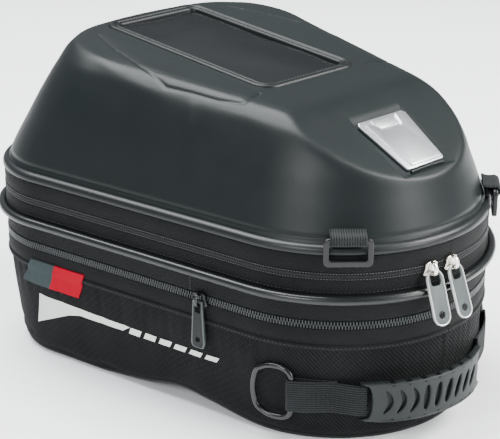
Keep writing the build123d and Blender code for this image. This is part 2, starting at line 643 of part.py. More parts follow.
# ================================================================ export
def nodes():
    """Every sub-part of the bag by node name."""
    parts = {
        "lower_wall": lower_wall(),
        "base_plate": base_plate(),
        "bottom_board": bottom_board(),
        "lower_lining": lower_lining(),
        "rim_band": rim_band(),
        "expansion_zip_lower_teeth": zip_half(EXPANSION_ZIP_Z, False),
        "expansion_gusset": expansion_gusset(),
        "side_label_red": side_label(0, 0.1),
        "side_label_grey": side_label(1, 0.0),
        "lock_housing": lock_housing(),
        "lock_latch": lock_latch(),
        "release_tab": release_tab(),
        "lock_screws": lock_screws(),
        "lock_backing_ring": backing_ring(),
        "collar_band": collar_band(),
        "collar_piping": collar_piping(),
        "collar_lining": collar_lining(),
        "expansion_zip_upper_teeth": zip_half(EXPANSION_ZIP_Z, True),
        "main_zip_lower_teeth": zip_half(MAIN_ZIP_Z, False),
        "expansion_slider": expansion_slider(),
        "expansion_pull": expansion_pull(),
        "top_shell": top_shell(),
        "trim_strip": trim_strip(),
        "lid_band": lid_band(),
        "lid_hinge_tape": lid_hinge_tape(),
        "lid_lining": lid_lining(),
        "main_zip_upper_teeth": zip_half(MAIN_ZIP_Z, True),
        "window_frame": window_frame(),
        "window_film": window_film(),
        "phone_pocket": phone_pocket(),
        "badge_plate": badge_plate(),
        "handle_grip": handle_grip(),
    }
    for name, side in SIDES.items():
        parts[f"reflective_print_{name}"] = reflective_print(side)
        parts[f"main_slider_{name}"] = main_slider(name)
        parts[f"main_puller_{name}"] = main_puller(name)
        parts[f"strap_loop_{name}"] = strap_loop(side)
        parts[f"strap_ring_{name}"] = strap_ring(side)
        parts[f"handle_patch_{name}"] = handle_patch(side, name)
        parts[f"handle_strap_{name}"] = handle_strap(side)
        parts[f"d_ring_{name}"] = d_ring(name)
    return parts


os.makedirs(OUT, exist_ok=True)
for node, solid in nodes().items():
    export_step(solid, f"{OUT}/{node}.step")
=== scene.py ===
from math import asin, cos, degrees, pi, radians, sin

import bmesh
import bpy
import numpy as np
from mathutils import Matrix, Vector
from mathutils.bvhtree import BVHTree


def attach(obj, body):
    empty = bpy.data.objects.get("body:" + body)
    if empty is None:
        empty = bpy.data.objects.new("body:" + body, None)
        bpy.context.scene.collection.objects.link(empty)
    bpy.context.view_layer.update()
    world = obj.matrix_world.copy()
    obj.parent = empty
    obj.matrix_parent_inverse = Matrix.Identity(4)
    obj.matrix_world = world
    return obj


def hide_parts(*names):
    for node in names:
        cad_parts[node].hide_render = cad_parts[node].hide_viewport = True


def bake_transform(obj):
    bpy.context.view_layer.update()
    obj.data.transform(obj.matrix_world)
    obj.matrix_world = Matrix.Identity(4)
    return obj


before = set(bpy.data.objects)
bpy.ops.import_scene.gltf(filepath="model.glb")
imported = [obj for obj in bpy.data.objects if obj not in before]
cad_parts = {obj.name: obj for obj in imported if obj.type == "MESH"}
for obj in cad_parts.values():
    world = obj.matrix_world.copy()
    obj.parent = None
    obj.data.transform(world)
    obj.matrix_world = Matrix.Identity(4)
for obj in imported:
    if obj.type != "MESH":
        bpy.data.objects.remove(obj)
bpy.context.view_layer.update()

# An expandable motorcycle tank bag. Lengths are in millimetres until a mesh is made.
# The frame is the CAD model's: +Z up, +Y to the front, and the nose faces the rider at -Y.
MM = 0.001

# ---- camera
CAMERA_AZIMUTH, CAMERA_ELEVATION, CAMERA_DISTANCE = -42.9, 22.0, 1100.0
CAMERA_TARGET = (-10.2, 11.1, 97.7)
LENS, SENSOR = 110.88, 36.0

# ---- plan outline
NOSE_R, NOSE_Y, TAPER = 102.0, -64.0, radians(11)
CORNER_R, FRONT_R, FRONT_Y = 62.0, 355.0, 181.6
COLUMNS = 640

# ---- heights of the bands
SEAM_Z, EXPANSION_Z, PIPING_Z, MAIN_Z = 72.0, 86.5, 105.0, 120.0
PIPING_R = 3.2
LOWER_KNOTS = [(72.0, -0.5), (34.0, -5.0), (10.0, -6.8), (0.0, -10.0)]
SKIRT_KNOTS = [(-100.0, 0.0), (-74.0, 1.5), (-46.0, 7.5), (-22.0, 10.5), (10.0, 4.5), (50.0, 0.0)]
ARCH_KNOTS = [(-100.0, 0.0), (-74.0, 14.0), (-42.0, 27.0), (-8.0, 27.0), (46.0, 16.0), (110.0, 0.0)]
PLATE_T, WALL_T, WALL_SLACK = 3.0, 1.7, 1.8
LINING_LIFT = 4.2
LABEL_TOPS, LABEL_FEET = (53.0, 80.0, 102.0), (61.0, 88.0, 115.0)

# ---- lid shell: offset, height, cut-back at the front, forward tilt, corner rounding
SHELL_PROFILE = [
    (-3.0, 140.2, 0.0, 0.0, 0.0), (-5.4, 147.0, 1.0, 0.3, 1.0), (-12.0, 166.0, 5.0, 1.0, 5.0),
    (-19.4, 186.0, 8.0, 2.0, 12.0), (-25.8, 199.0, 8.5, 2.8, 18.0), (-32.5, 208.8, 7.0, 3.4, 24.0),
    (-40.0, 214.3, 3.0, 3.6, 30.0), (-46.0, 215.3, 1.0, 3.6, 34.0),
]
DECK_Z, DECK_TILT = 213.5, radians(3.6)
WINDOW_Y, FRAME_HALF = 46.0, (44.0, 86.0)
FACET_TOP, FACET_FOOT, FACET_SOFTNESS = (-80.0, 208.2), (-151.0, 171.2), 1.6
BADGE_FROM_TOP = 45.0
BADGE_PLATE = [
    (-16, -23.5), (16, -23.5), (17.5, -22), (22, 20), (20, 22.5), (-20, 22.5), (-22, 20), (-17.5, -22),
]
BADGE_FACE = [
    (-12, -22), (15, -22), (16.2, -20.5), (20, 19), (12, 20.5), (10, 12), (8, 10.5), (-8, 10.5),
    (-10, 12), (-12.5, 17), (-17.5, 18.5), (-13, -20.5),
]
BADGE_TONGUE = [(-8, 12.5), (7.5, 12.5), (10, 21), (-10.5, 21), (-11, 17)]

# ---- details moulded into the shell, as lines in plan on the left half
LEAF_PANEL = [
    (-61, 115), (-72, 82), (-80, 44), (-84, 13), (-79, -8), (-75, -28), (-69, -46), (-57, -45),
    (-51, -42), (-49, -20), (-48, 30), (-48, 90), (-52, 112),
]
SIDE_CREASE = [(-80, 124), (-86, 97), (-92, 62), (-91, 31), (-89, 2), (-86, -14)]
SHOULDER = [
    (-86, -14), (-80, -36), (-74, -55), (-71, -82), (-66, -106), (-57, -126), (-30, -144), (0, -149),
]

# ---- handle, rings, sliders and pullers
HANDLE_Z, HANDLE_CENTRE, GRIP_HALF = 35.5, -10.0, 27.5
GRIP_END_R, GRIP_MID_R, GRIP_ARC_R, GRIP_T, GRIP_H = 105.0, 111.0, 110.0, 4.6, 28.0
PATCH_REACH, STRAP_REACH = 34.5, 24.5
WEBBING_R, WEBBING_W, WEBBING_T = 98.8, 22.0, 1.5
D_RING_OUT = 4.2
D_RING_ANGLES = {"left": -61.0, "right": 50.0}
SLIDER_ANGLES = {"left": -11.0, "right": -1.5}
STRAP_ANGLE, STRAP_W, STRAP_R, STRAP_Z = 42.0, 23.0, 105.2, 145.5
RING_W, RING_H, RING_T, RING_BAR = 31.0, 19.0, 3.3, 3.4
PULLER_LEAN, PULLER_L, PULLER_W = 22.0, 36.0, 13.0
PIVOT_OUT, PIVOT_DROP = 4.2, 1.4
EXPANSION_ALONG = 37.0
EXPANSION_PULL_L = 33.0
LATCH_EYE = (-52.4, -25.0, 13.2)
SIDES = {"left": -1, "right": 1}


# ================================================================ plan outline
def smooth(t):
    """Smooth step of t from 0 to 1."""
    t = np.clip(t, 0, 1)
    return t * t * (3 - 2 * t)


def distances(path):
    """Distance along a path at each of its points."""
    return np.concatenate([[0], np.cumsum(np.linalg.norm(np.diff(path, axis=0), axis=1))])


def unit(vectors):
    """The vectors, each scaled to a length of one."""
    return vectors / np.linalg.norm(vectors, axis=-1, keepdims=True)


def sampled(rows, at, places):
    """Rows of numbers known at some distances, read off at other places."""
    return np.stack([np.interp(places, at, column) for column in rows.T], -1)


def at_height(plan, z):
    """Plan points raised to z."""
    return np.column_stack([plan, np.broadcast_to(z, len(plan))])


def half_plan(inset=0.0, rounding=0.0):
    """Corner centre, corner radius, front centre and the angle where the corner meets the front."""
    radius = CORNER_R + rounding
    centre_y = FRONT_Y - inset - FRONT_R
    side = NOSE_R - NOSE_Y * sin(TAPER)
    turn = TAPER + asin((side - radius + centre_y * sin(TAPER)) / (FRONT_R - radius))
    reach = FRONT_R - radius
    corner = np.array([reach * sin(turn), centre_y + reach * cos(turn)])
    return corner, radius, np.array([0.0, centre_y]), turn


def outline(offset=0.0, inset=0.0, rounding=0.0, columns=COLUMNS):
    """Plan points round the bag and their outward normals, starting at the nose."""
    quarter = pi / 2 - TAPER
    flat = np.array([sin(quarter), -cos(quarter)])
    nose = np.array([0.0, NOSE_Y])
    corner, radius, front, turn = half_plan()
    straight = np.linalg.norm(corner + radius * flat - nose - NOSE_R * flat)
    ends = np.cumsum([0, NOSE_R * quarter, straight, radius * (pi - turn - quarter), FRONT_R * turn])
    corner, radius, front, turn = half_plan(inset, rounding)
    s = np.arange(columns) / columns * 2 * ends[-1]
    right = s <= ends[-1]
    half = np.where(right, s, 2 * ends[-1] - s)
    share = [np.clip((half - a) / (b - a), 0, 1) for a, b in zip(ends, ends[1:])]
    angle = quarter * share[0] + (pi - turn - quarter) * share[2] + turn * share[3]
    normal = np.stack([np.sin(angle), -np.cos(angle)], -1)
    start, end = nose + NOSE_R * flat, corner + radius * flat
    base = nose + NOSE_R * normal
    side = start + (end - start) * share[1][:, None]
    base = np.where((half >= ends[1])[:, None], side, base)
    base = np.where((half >= ends[2])[:, None], corner + radius * normal, base)
    base = np.where((half >= ends[3])[:, None], front + FRONT_R * normal, base)
    points = base + offset * normal
    mirror = np.stack([np.where(right, 1.0, -1.0), np.ones(columns)], -1)
    return points * mirror, normal * mirror


def hoop_rows(profile, columns=COLUMNS):
    """Grid of points round the bag, one row for each (offset, height, inset, tilt, rounding)."""
    rows = []
    for knot in profile:
        offset, z, inset, tilt, rounding = (tuple(knot) + (0.0, 0.0, 0.0))[:5]
        rows.append(tilted(outline(offset, inset, rounding, columns)[0], z, tilt))
    return np.array(rows)


def tilted(plan, z, tilt):
    """Plan points at height z, on a plane that rises to the front by a tilt in degrees."""
    t = radians(tilt)
    return np.stack([plan[:, 0], plan[:, 1] * cos(t), z + plan[:, 1] * sin(t)], -1)


def curve_through(points, count, measured=None):
    """Smooth curve through points of any dimension, even in its first measured coordinates."""
    p = np.array(points, float)
    at = distances(p[:, :measured])
    slope = np.gradient(p, at, axis=0)
    t = np.linspace(0, at[-1], count)
    i = np.clip(np.searchsorted(at, t, side="right") - 1, 0, len(p) - 2)
    h = (at[i + 1] - at[i])[:, None]
    u = (t - at[i])[:, None] / h
    return ((2 * u**3 - 3 * u**2 + 1) * p[i] + (u**3 - 2 * u**2 + u) * h * slope[i]
            + (3 * u**2 - 2 * u**3) * p[i + 1] + (u**3 - u**2) * h * slope[i + 1])


# ================================================================ meshes
def add_piece(name, verts, faces, surface, body, uvs=None, replaces=(), slot="", angle=50):
    """Mesh from points in millimetres that rides on a CAD body; its slot argument is not used."""
    mesh = bpy.data.meshes.new(name)
    mesh.from_pydata((np.asarray(verts, float) * MM).tolist(), [], faces)
    mesh.validate()
    if uvs is not None:
        layer = mesh.uv_layers.new(name="UVMap")
        index = np.zeros(len(mesh.loops), dtype=np.int32)
        mesh.loops.foreach_get("vertex_index", index)
        layer.data.foreach_set("uv", (np.asarray(uvs, float)[index] * MM).ravel())
    obj = bpy.data.objects.new(name, mesh)
    bpy.context.scene.collection.objects.link(obj)
    mesh.materials.append(M[surface])
    fix_normals(mesh)
    mesh.polygons.foreach_set("use_smooth", [True] * len(mesh.polygons))
    mesh.set_sharp_from_angle(angle=radians(angle))
    if body:
        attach(obj, body)
    if replaces:
        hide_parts(*replaces)
    return obj


def fix_normals(mesh):
    """Turns every face of the mesh outwards."""
    form = bmesh.new()
    form.from_mesh(mesh)
    bmesh.ops.recalc_face_normals(form, faces=form.faces)
    form.to_mesh(mesh)
    form.free()


def grid_faces(rows, columns, wrap_columns=True, wrap_rows=False):
    """Quads of a grid whose points run column by column within each row."""
    r = np.arange(rows if wrap_rows else rows - 1)[:, None]
    c = np.arange(columns if wrap_columns else columns - 1)[None, :]
    nr, nc = (r + 1) % rows, (c + 1) % columns
    quads = np.stack([r * columns + c, r * columns + nc, nr * columns + nc, nr * columns + c], -1)
    return quads.reshape(-1, 4).tolist()


def end_caps(rows, columns):
    """Faces that close the first and last row of a grid whose columns wrap."""
    last = (rows - 1) * columns
    return [list(range(columns)), list(range(last, last + columns))]


def grid_uvs(grid):
    """Distances along the rows and across them, as UVs in millimetres."""
    u, v = np.meshgrid(distances(grid[0]), distances(grid[:, grid.shape[1] // 3]))
    return np.stack([u, v], -1).reshape(-1, 2)


def add_grid(name, grid, surface, body, wrap_columns=True, wrap_rows=False, **options):
    """Piece made of one grid of points."""
    rows, columns = grid.shape[:2]
    faces = grid_faces(rows, columns, wrap_columns, wrap_rows)
    return add_piece(name, grid.reshape(-1, 3), faces, surface, body, uvs=grid_uvs(grid), **options)


def rumpled(grid, amount, seed):
    """The grid with a gentle, seeded unevenness in and out."""
    rng = np.random.default_rng(seed)
    columns = np.arange(grid.shape[1]) / grid.shape[1] * 2 * pi
    wave = sum(np.sin(columns * k + rng.uniform(0, 6)) * rng.uniform(0.4, 1) / (1 + k / 16)
               for k in (5, 9, 14, 23, 37, 52))
    rise = np.sin(np.linspace(0, pi, grid.shape[0]))
    normal = outline(0.0, columns=grid.shape[1])[1]
    push = amount * 0.4 * rise[:, None] * wave[None, :]
    grid[..., 0] += push * normal[:, 0]
    grid[..., 1] += push * normal[:, 1]
    return grid


def frame_axes(centres, closed):
    """Unit normals and binormals along a path, carried without twist."""
    if closed:
        tangent = np.roll(centres, -1, 0) - np.roll(centres, 1, 0)
    else:
        tangent = np.gradient(centres, axis=0)
    tangent = unit(tangent)
    seed = np.array([0, 0, 1.0]) if abs(tangent[0][2]) < 0.9 else np.array([1.0, 0, 0])
    normals = []
    for t in tangent:
        seed = unit(seed - t * seed.dot(t))
        normals.append(seed)
    normal = np.array(normals)
    return normal, np.cross(tangent, normal)


def tube(centres, radius, sides, closed=True):
    """Points and faces of a round tube along a path."""
    centres = np.array(centres, float)
    normal, binormal = frame_axes(centres, closed)
    a = (np.arange(sides) / sides * 2 * pi)[None, :, None]
    grid = centres[:, None] + radius * (np.cos(a) * normal[:, None] + np.sin(a) * binormal[:, None])
    faces = grid_faces(len(centres), sides, True, closed)
    if not closed:
        faces += end_caps(len(centres), sides)
    return grid, faces


def add_tube(name, centres, radius, surface, body, sides, closed=True, **options):
    """Piece made of one round tube."""
    grid, faces = tube(centres, radius, sides, closed)
    return add_piece(name, grid.reshape(-1, 3), faces, surface, body, uvs=grid_uvs(grid), **options)


def repeated(template, faces, origins, x_axes, y_axes, z_axes):
    """Copies of a small template at many places, as one list of points and faces."""
    t = np.array(template, float)
    points = (origins[:, None] + t[None, :, :1] * x_axes[:, None] + t[None, :, 1:2] * y_axes[:, None]
              + t[None, :, 2:3] * z_axes[:, None])
    count = len(t)
    all_faces = [[k * count + i for i in face] for k in range(len(origins)) for face in faces]
    return points.reshape(-1, 3), all_faces


def capsule(length, radius):
    """Small thread stitch along x, sunk at both ends."""
    sides = 6
    half = [(0.5, 0.25, -0.6), (0.38, 0.85, 0.0)]
    stations = [(-x, w, lift) for x, w, lift in half] + [(0.0, 1.0, 0.35)] + half[::-1]
    points = [(x * length, radius * w * cos(t), radius * (w * sin(t) + lift))
              for x, w, lift in stations for t in np.arange(sides) / sides * 2 * pi]
    return points, grid_faces(len(stations), sides) + end_caps(len(stations), sides)


def stitch_line(path, normals, pitch, length, radius):
    """Stitches along a path, lying on a surface with those normals."""
    path, normals = np.array(path, float), np.array(normals, float)
    at = distances(path)
    places = np.arange(pitch / 2, at[-1], pitch)
    x_axes = unit(sampled(path, at, places + 0.5) - sampled(path, at, places - 0.5))
    z_axes = unit(sampled(normals, at, places))
    y_axes = np.cross(z_axes, x_axes)
    return repeated(*capsule(length, radius), sampled(path, at, places), x_axes, y_axes, z_axes)


def joined(parts):
    """Several (points, faces) lists as one."""
    verts, faces, count = [], [], 0
    for points, part_faces in parts:
        verts.append(np.asarray(points, float).reshape(-1, 3))
        faces.extend([[i + count for i in face] for face in part_faces])
        count += len(verts[-1])
    return np.concatenate(verts), faces


def add_stitches(name, stitches, thread, body):
    """Piece made of thread, which no CAD node has a slot for."""
    return add_piece(name, *stitches, thread, body, slot=None)


def hoop_stitches(offset, z, pitch=2.8, length=1.9, radius=0.3):
    """A line of stitches all round the bag at one height."""
    plan, normal = outline(offset)
    return stitch_line(at_height(plan, z), at_height(normal, 0.0), pitch, length, radius)


def flat_shape(outer, holes, thickness, bevel):
    """Bevelled flat plate with holes, filled by a 2-D curve and centred on z = 0."""
    data = bpy.data.curves.new("shape", "CURVE")
    data.dimensions = "2D"
    data.fill_mode = "BOTH"
    data.extrude = thickness / 2 - bevel
    data.bevel_depth = bevel
    data.bevel_resolution = 2
    data.offset = -bevel
    for loop in [outer, *holes]:
        spline = data.splines.new("POLY")
        spline.points.add(len(loop) - 1)
        for point, (x, y) in zip(spline.points, loop):
            point.co = (x, y, 0, 1)
        spline.use_cyclic_u = True
    holder = bpy.data.objects.new("shape", data)
    bpy.context.scene.collection.objects.link(holder)
    mesh = bpy.data.meshes.new_from_object(holder.evaluated_get(bpy.context.evaluated_depsgraph_get()))
    form = bmesh.new()
    form.from_mesh(mesh)
    bmesh.ops.remove_doubles(form, verts=form.verts, dist=0.002)
    bmesh.ops.dissolve_degenerate(form, edges=form.edges, dist=0.002)
    bpy.data.objects.remove(holder)
    bpy.data.curves.remove(data)
    bpy.data.meshes.remove(mesh)
    return points_and_faces(form)


def points_and_faces(form):
    """Points and faces of a bmesh, which is freed."""
    form.verts.index_update()
    points = np.array([v.co[:] for v in form.verts])
    faces = [[v.index for v in f.verts] for f in form.faces]
    form.free()
    return points, faces


def sliced(verts, faces, stations):
    """The mesh cut by planes at these stations along x, so that it can bend."""
    form = bmesh.new()
    made = [form.verts.new(v) for v in verts]
    for face in faces:
        if len(set(face)) > 2:
            form.faces.new([made[i] for i in face])
    for station in stations:
        everything = form.verts[:] + form.edges[:] + form.faces[:]
        bmesh.ops.bisect_plane(
            form, geom=everything, plane_co=(station, 0, 0), plane_no=(1, 0, 0), dist=0.001)
    return points_and_faces(form)


def rounded_loop(width, height, radius, steps=7, centre=(0, 0)):
    """Rounded rectangle as a loop of points."""
    loop = []
    for k, (sx, sy) in enumerate([(1, 1), (-1, 1), (-1, -1), (1, -1)]):
        for t in np.linspace(k * pi / 2, (k + 1) * pi / 2, steps):
            loop.append((centre[0] + sx * (width / 2 - radius) + radius * cos(t),
                         centre[1] + sy * (height / 2 - radius) + radius * sin(t)))
    return loop


def ellipse(x, y, a, b, turn=0.0, bow=0.0):
    """Ellipse as a loop of twenty points, turned by an angle and bowed sideways."""
    loop = []
    for t in np.arange(20) / 20 * 2 * pi:
        px, py = a * cos(t), b * sin(t)
        px += bow * (py / b) ** 2
        loop.append((x + px * cos(turn) - py * sin(turn), y + px * sin(turn) + py * cos(turn)))
    return loop


# ================================================================ places
def nose_points(angle, radius, z):
    """Points on arcs round the nose's centre, at angles in radians from straight back."""
    x, y = radius * np.sin(angle), NOSE_Y - radius * np.cos(angle)
    return np.stack([x, y, np.broadcast_to(z, np.shape(x))], -1)


def nose_frame(angle, radius, z):
    """Origin and axes on the nose arc: x runs round it, y is up, z points outwards."""
    a = radians(angle)
    axes = np.array([(cos(a), sin(a), 0), (0, 0, 1.0), (sin(a), -cos(a), 0)])
    return nose_points(a, radius, z), *axes


def left_frame(along, offset, z):
    """Origin and axes on the straight left side, along millimetres ahead of the nose arc's end."""
    origin, x, y, out = nose_frame(degrees(TAPER) - 90, NOSE_R + offset, z)
    return origin - x * along, x, y, out


def placed(points, place):
    """Local points moved to a frame of origin and three axes."""
    origin, x, y, z = place
    p = np.asarray(points, float)
    return origin + p[:, :1] * x + p[:, 1:2] * y + p[:, 2:3] * z


def leaned(place, degrees):
    """The frame turned about its x axis, so that what hangs from it swings outwards."""
    origin, x, y, z = place
    a = radians(-degrees)
    return origin, x, y * cos(a) + z * sin(a), z * cos(a) - y * sin(a)


def on_deck(points):
    """Points given on the lid's tilted deck, moved to the frame."""
    p = np.asarray(points, float)
    y = p[..., 1] * cos(DECK_TILT) - p[..., 2] * sin(DECK_TILT)
    z = DECK_Z + p[..., 1] * sin(DECK_TILT) + p[..., 2] * cos(DECK_TILT)
    return np.stack([p[..., 0], y, z], -1)


def lower_offset(z):
    """Offset of the lower wall at height z."""
    heights, offsets = zip(*reversed(LOWER_KNOTS))
    return np.interp(z, heights, offsets)


ARCH_CURVE = curve_through(ARCH_KNOTS, 120)
SKIRT_CURVE = curve_through(SKIRT_KNOTS, 120)


def arch_height(y, curve=ARCH_CURVE):
    """Height at y of the saddle arch under the bag, or of the fabric skirt's edge."""
    return np.interp(y, curve[:, 0], curve[:, 1])


# ================================================================ materials
class Shader:
    """A material's nodes, with short ways to add and join them."""

    def __init__(self, name, color, roughness, metallic=0.0):
        self.material = bpy.data.materials.new(f"look_{name}")
        self.material.use_nodes = True
        self.tree = self.material.node_tree
        self.bsdf = self.tree.nodes["Principled BSDF"]
        self.bsdf.inputs["Base Color"].default_value = (*color, 1)
        self.bsdf.inputs["Roughness"].default_value = roughness
        self.bsdf.inputs["Metallic"].default_value = metallic
        self.color = color
        self.material.diffuse_color = (*color, 1)

    def node(self, kind, **inputs):
        """New node whose inputs, named with _ for a space, are numbers or other nodes' outputs."""
        node = self.tree.nodes.new("ShaderNode" + kind)
        for name, value in inputs.items():
            self.give(node.inputs[name.replace("_", " ")], value)
        return node

    def give(self, socket, value):
        """Sets a socket to a value, or links it to another node's output."""
        if isinstance(value, bpy.types.NodeSocket):
            self.tree.links.new(value, socket)
        else:
            socket.default_value = value

    def constants(self, **inputs):
        """Sets constants of the shader itself."""
        for name, value in inputs.items():
            self.bsdf.inputs[name.replace("_", " ")].default_value = value

    def math(self, operation, a, b=0.0):
        node = self.node("Math")
        node.operation = operation
        self.give(node.inputs[0], a)
        self.give(node.inputs[1], b)
        return node.outputs[0]

    def noise(self, scale, detail, stretch=None):
        source = self.node("TexCoord").outputs["Object"]
        if stretch:
            source = self.node("Mapping", Scale=stretch, Vector=source).outputs[0]
        return self.node("TexNoise", Scale=scale, Detail=detail, Vector=source).outputs["Fac"]

    def wave(self, turn, pitch):
        """Sine bands of that pitch, in metres, along the UV turned by an angle."""
        uv = self.node("TexCoord").outputs["UV"]
        turned = self.node("Mapping", Rotation=(0, 0, turn), Vector=uv).outputs[0]
        split = self.node("SeparateXYZ", Vector=turned)
        return self.math("SINE", self.math("MULTIPLY", split.outputs[0], 2 * pi / pitch))

    def bump(self, height, distance, strength=1.0):
        """Adds a bump on top of any that is there already."""
        node = self.node("Bump", Strength=strength, Distance=distance, Height=height)
        before = self.bsdf.inputs["Normal"].links
        if before:
            self.give(node.inputs["Normal"], before[0].from_socket)
        self.give(self.bsdf.inputs["Normal"], node.outputs[0])

    def tint(self, fac, dark, light):
        """Base colour between two multiples of the material's colour."""
        ramp = self.node("ValToRGB", Fac=fac)
        for stop, position, share in zip(ramp.color_ramp.elements, (0.3, 0.7), (dark, light)):
            stop.position = position
            stop.color = (*[min(c * share, 1) for c in self.color], 1)
        self.give(self.bsdf.inputs["Base Color"], ramp.outputs[0])

    def vary_roughness(self, fac, low, high):
        node = self.node("MapRange", To_Min=low, To_Max=high, Value=fac)
        self.give(self.bsdf.inputs["Roughness"], node.outputs[0])


def woven(name, color, pitch, depth, turn, sheen, contrast, roughness=0.82):
    """Woven cloth on metre UVs: ribs turned by an angle, crossed by finer ones, with uneven dye."""
    s = Shader(name, color, roughness)
    ribs = s.wave(radians(turn), pitch)
    picks = s.wave(radians(turn + 90), pitch * 1.9)
    knots = s.math("MULTIPLY", s.math("MULTIPLY", ribs, picks), 0.26)
    weave = s.math("ADD", s.math("ADD", s.math("MULTIPLY", ribs, 0.32), knots), 0.5)
    dye = s.math("MULTIPLY", s.noise(38, 4), 0.4)
    s.tint(s.math("ADD", s.math("MULTIPLY", weave, 0.62), dye), *contrast)
    s.bump(weave, depth)
    s.bump(s.noise(900, 2), depth * 0.35)
    s.constants(Sheen_Weight=sheen, Sheen_Roughness=0.5, Specular_IOR_Level=0.08)
    return s.material


def moulded(name, color, rough, grain=1400.0, depth=0.00006, tint=(0.88, 1.12), coat=0.0, metallic=0.0,
            specular=0.3):
    """Moulded plastic, rubber or metal with fine grain and faint unevenness."""
    s = Shader(name, color, rough[0], metallic)
    s.tint(s.noise(22, 5), *tint)
    s.vary_roughness(s.noise(60, 4), *rough)
    s.bump(s.noise(grain, 2), depth)
    s.constants(Specular_IOR_Level=specular, Coat_Weight=coat, Coat_Roughness=0.12)
    return s.material


def brushed(name, color, rough):
    """Satin metal with fine lines one way."""
    s = Shader(name, color, rough, 1.0)
    lines = s.noise(140, 3, stretch=(1, 30, 30))
    s.tint(lines, 0.86, 1.08)
    s.vary_roughness(lines, rough * 0.85, rough * 1.25)
    s.bump(lines, 0.00004)
    return s.material


def clear_film(name):
    """Soft clear film: mostly see-through, with a broad gloss."""
    s = Shader(name, (0.012, 0.014, 0.015), 0.16)
    s.constants(Alpha=0.45, IOR=1.45)
    s.vary_roughness(s.noise(30, 3), 0.1, 0.24)
    s.bump(s.noise(26, 2), 0.0006, 0.4)
    return s.material


# name: colour, pitch and depth of the weave, its turn in degrees, sheen, contrast, roughness
WOVEN = {
    "ballistic_fabric": ((0.0038, 0.0042, 0.0044), 0.0021, 0.0004, 42, 0.02, (0.35, 2.4)),
    "band_fabric": ((0.0042, 0.0046, 0.0048), 0.0014, 0.00022, 42, 0.02, (0.45, 2.0), 0.7),
    "gusset_fabric": ((0.003, 0.003, 0.0035), 0.0009, 0.0001, 0, 0.0, (0.7, 1.3)),
    "lining_fabric": ((0.085, 0.087, 0.092), 0.0009, 0.00008, 0, 0.3, (0.8, 1.2)),
    "webbing": ((0.0055, 0.0062, 0.0064), 0.0016, 0.0003, 90, 0.03, (0.3, 3.6)),
    "zip_tape": ((0.006, 0.006, 0.007), 0.0008, 0.0001, 0, 0.05, (0.8, 1.2)),
    "label_red": ((0.30, 0.0, 0.012), 0.0007, 0.0001, 0, 0.0, (0.85, 1.1)),
    "label_grey": ((0.032, 0.043, 0.045), 0.0007, 0.0001, 0, 0.0, (0.75, 1.2)),
}
# name: colour, least and greatest roughness, grain, its depth, tint
MOULDED = {
    "plate_plastic": ((0.008, 0.008, 0.009), (0.4, 0.55), 700, 0.00012),
    "lock_plastic": ((0.009, 0.009, 0.009), (0.25, 0.38)),
    "zip_coil": ((0.006, 0.006, 0.006), (0.4, 0.5)),
    "zip_teeth_grey": ((0.016, 0.019, 0.02), (0.28, 0.4)),
    "piping_gloss": ((0.006, 0.0075, 0.0078), (0.26, 0.36), 300, 0.00003),
    "trim_rubber": ((0.006, 0.0075, 0.008), (0.32, 0.42), 900, 0.00004),
    "shell_molded": ((0.0040, 0.0062, 0.0064), (0.37, 0.46), 1100, 0.00006, (0.93, 1.07)),
    "window_rim": ((0.003, 0.0042, 0.0045), (0.36, 0.46), 900, 0.00004),
    "ring_plastic": ((0.006, 0.006, 0.0065), (0.24, 0.34)),
    "ring_wire": ((0.006, 0.006, 0.0065), (0.2, 0.3)),
    "grip_rubber": ((0.009, 0.0115, 0.012), (0.42, 0.54), 800, 0.00008),
    "slider_black": ((0.008, 0.009, 0.0095), (0.25, 0.34)),
    "puller_satin": ((0.055, 0.064, 0.065), (0.34, 0.44)),
    "puller_rim": ((0.55, 0.56, 0.55), (0.25, 0.34)),
    "pull_rubber": ((0.006, 0.007, 0.0075), (0.4, 0.5)),
    "print_reflective": ((0.55, 0.60, 0.54), (0.35, 0.5), 1600, 0.0001, (0.85, 1.1)),
    "thread_dark": ((0.014, 0.015, 0.016), (0.45, 0.55)),
    "thread_grey": ((0.055, 0.062, 0.064), (0.45, 0.55)),
}
GLOSS = {
    "piping_gloss": {"coat": 0.08}, "ring_wire": {"coat": 0.2}, "slider_black": {"coat": 0.2},
    "puller_rim": {"metallic": 0.5}, "trim_rubber": {"specular": 0.25}, "grip_rubber": {"specular": 0.25},
    "shell_molded": {"specular": 0.2}, "window_rim": {"specular": 0.2}, "pull_rubber": {"specular": 0.2},
}
BRUSHED = {
    "badge_metal": ((0.72, 0.75, 0.77), 0.3),
    "slider_metal": ((0.80, 0.77, 0.68), 0.24),
    "screw_steel": ((0.6, 0.6, 0.6), 0.3),
}
M = {
    **{name: woven(name, *look) for name, look in WOVEN.items()},
    **{name: moulded(name, *look, **GLOSS.get(name, {})) for name, look in MOULDED.items()},
    **{name: brushed(name, *look) for name, look in BRUSHED.items()},
    "clear_film": clear_film("clear_film"),
}


# ================================================================ lower bag
def lower_rows(grow=0.0, count=26, top=SEAM_Z, lift=0.9, columns=320, curve=SKIRT_CURVE):
    """Rows of the lower wall, from the seam down to the edge that the curve gives."""
    rows = []
    for t in np.linspace(0, 1, count):
        plan, _ = outline(lower_offset(top) + grow, columns=columns)
        for _ in range(3):
            z = top + (arch_height(plan[:, 1], curve) + lift - top) * t
            base, normal = outline(0.0, columns=columns)
            plan = base + (lower_offset(z) + grow)[:, None] * normal
        rows.append(at_height(plan, z))
    return np.array(rows)


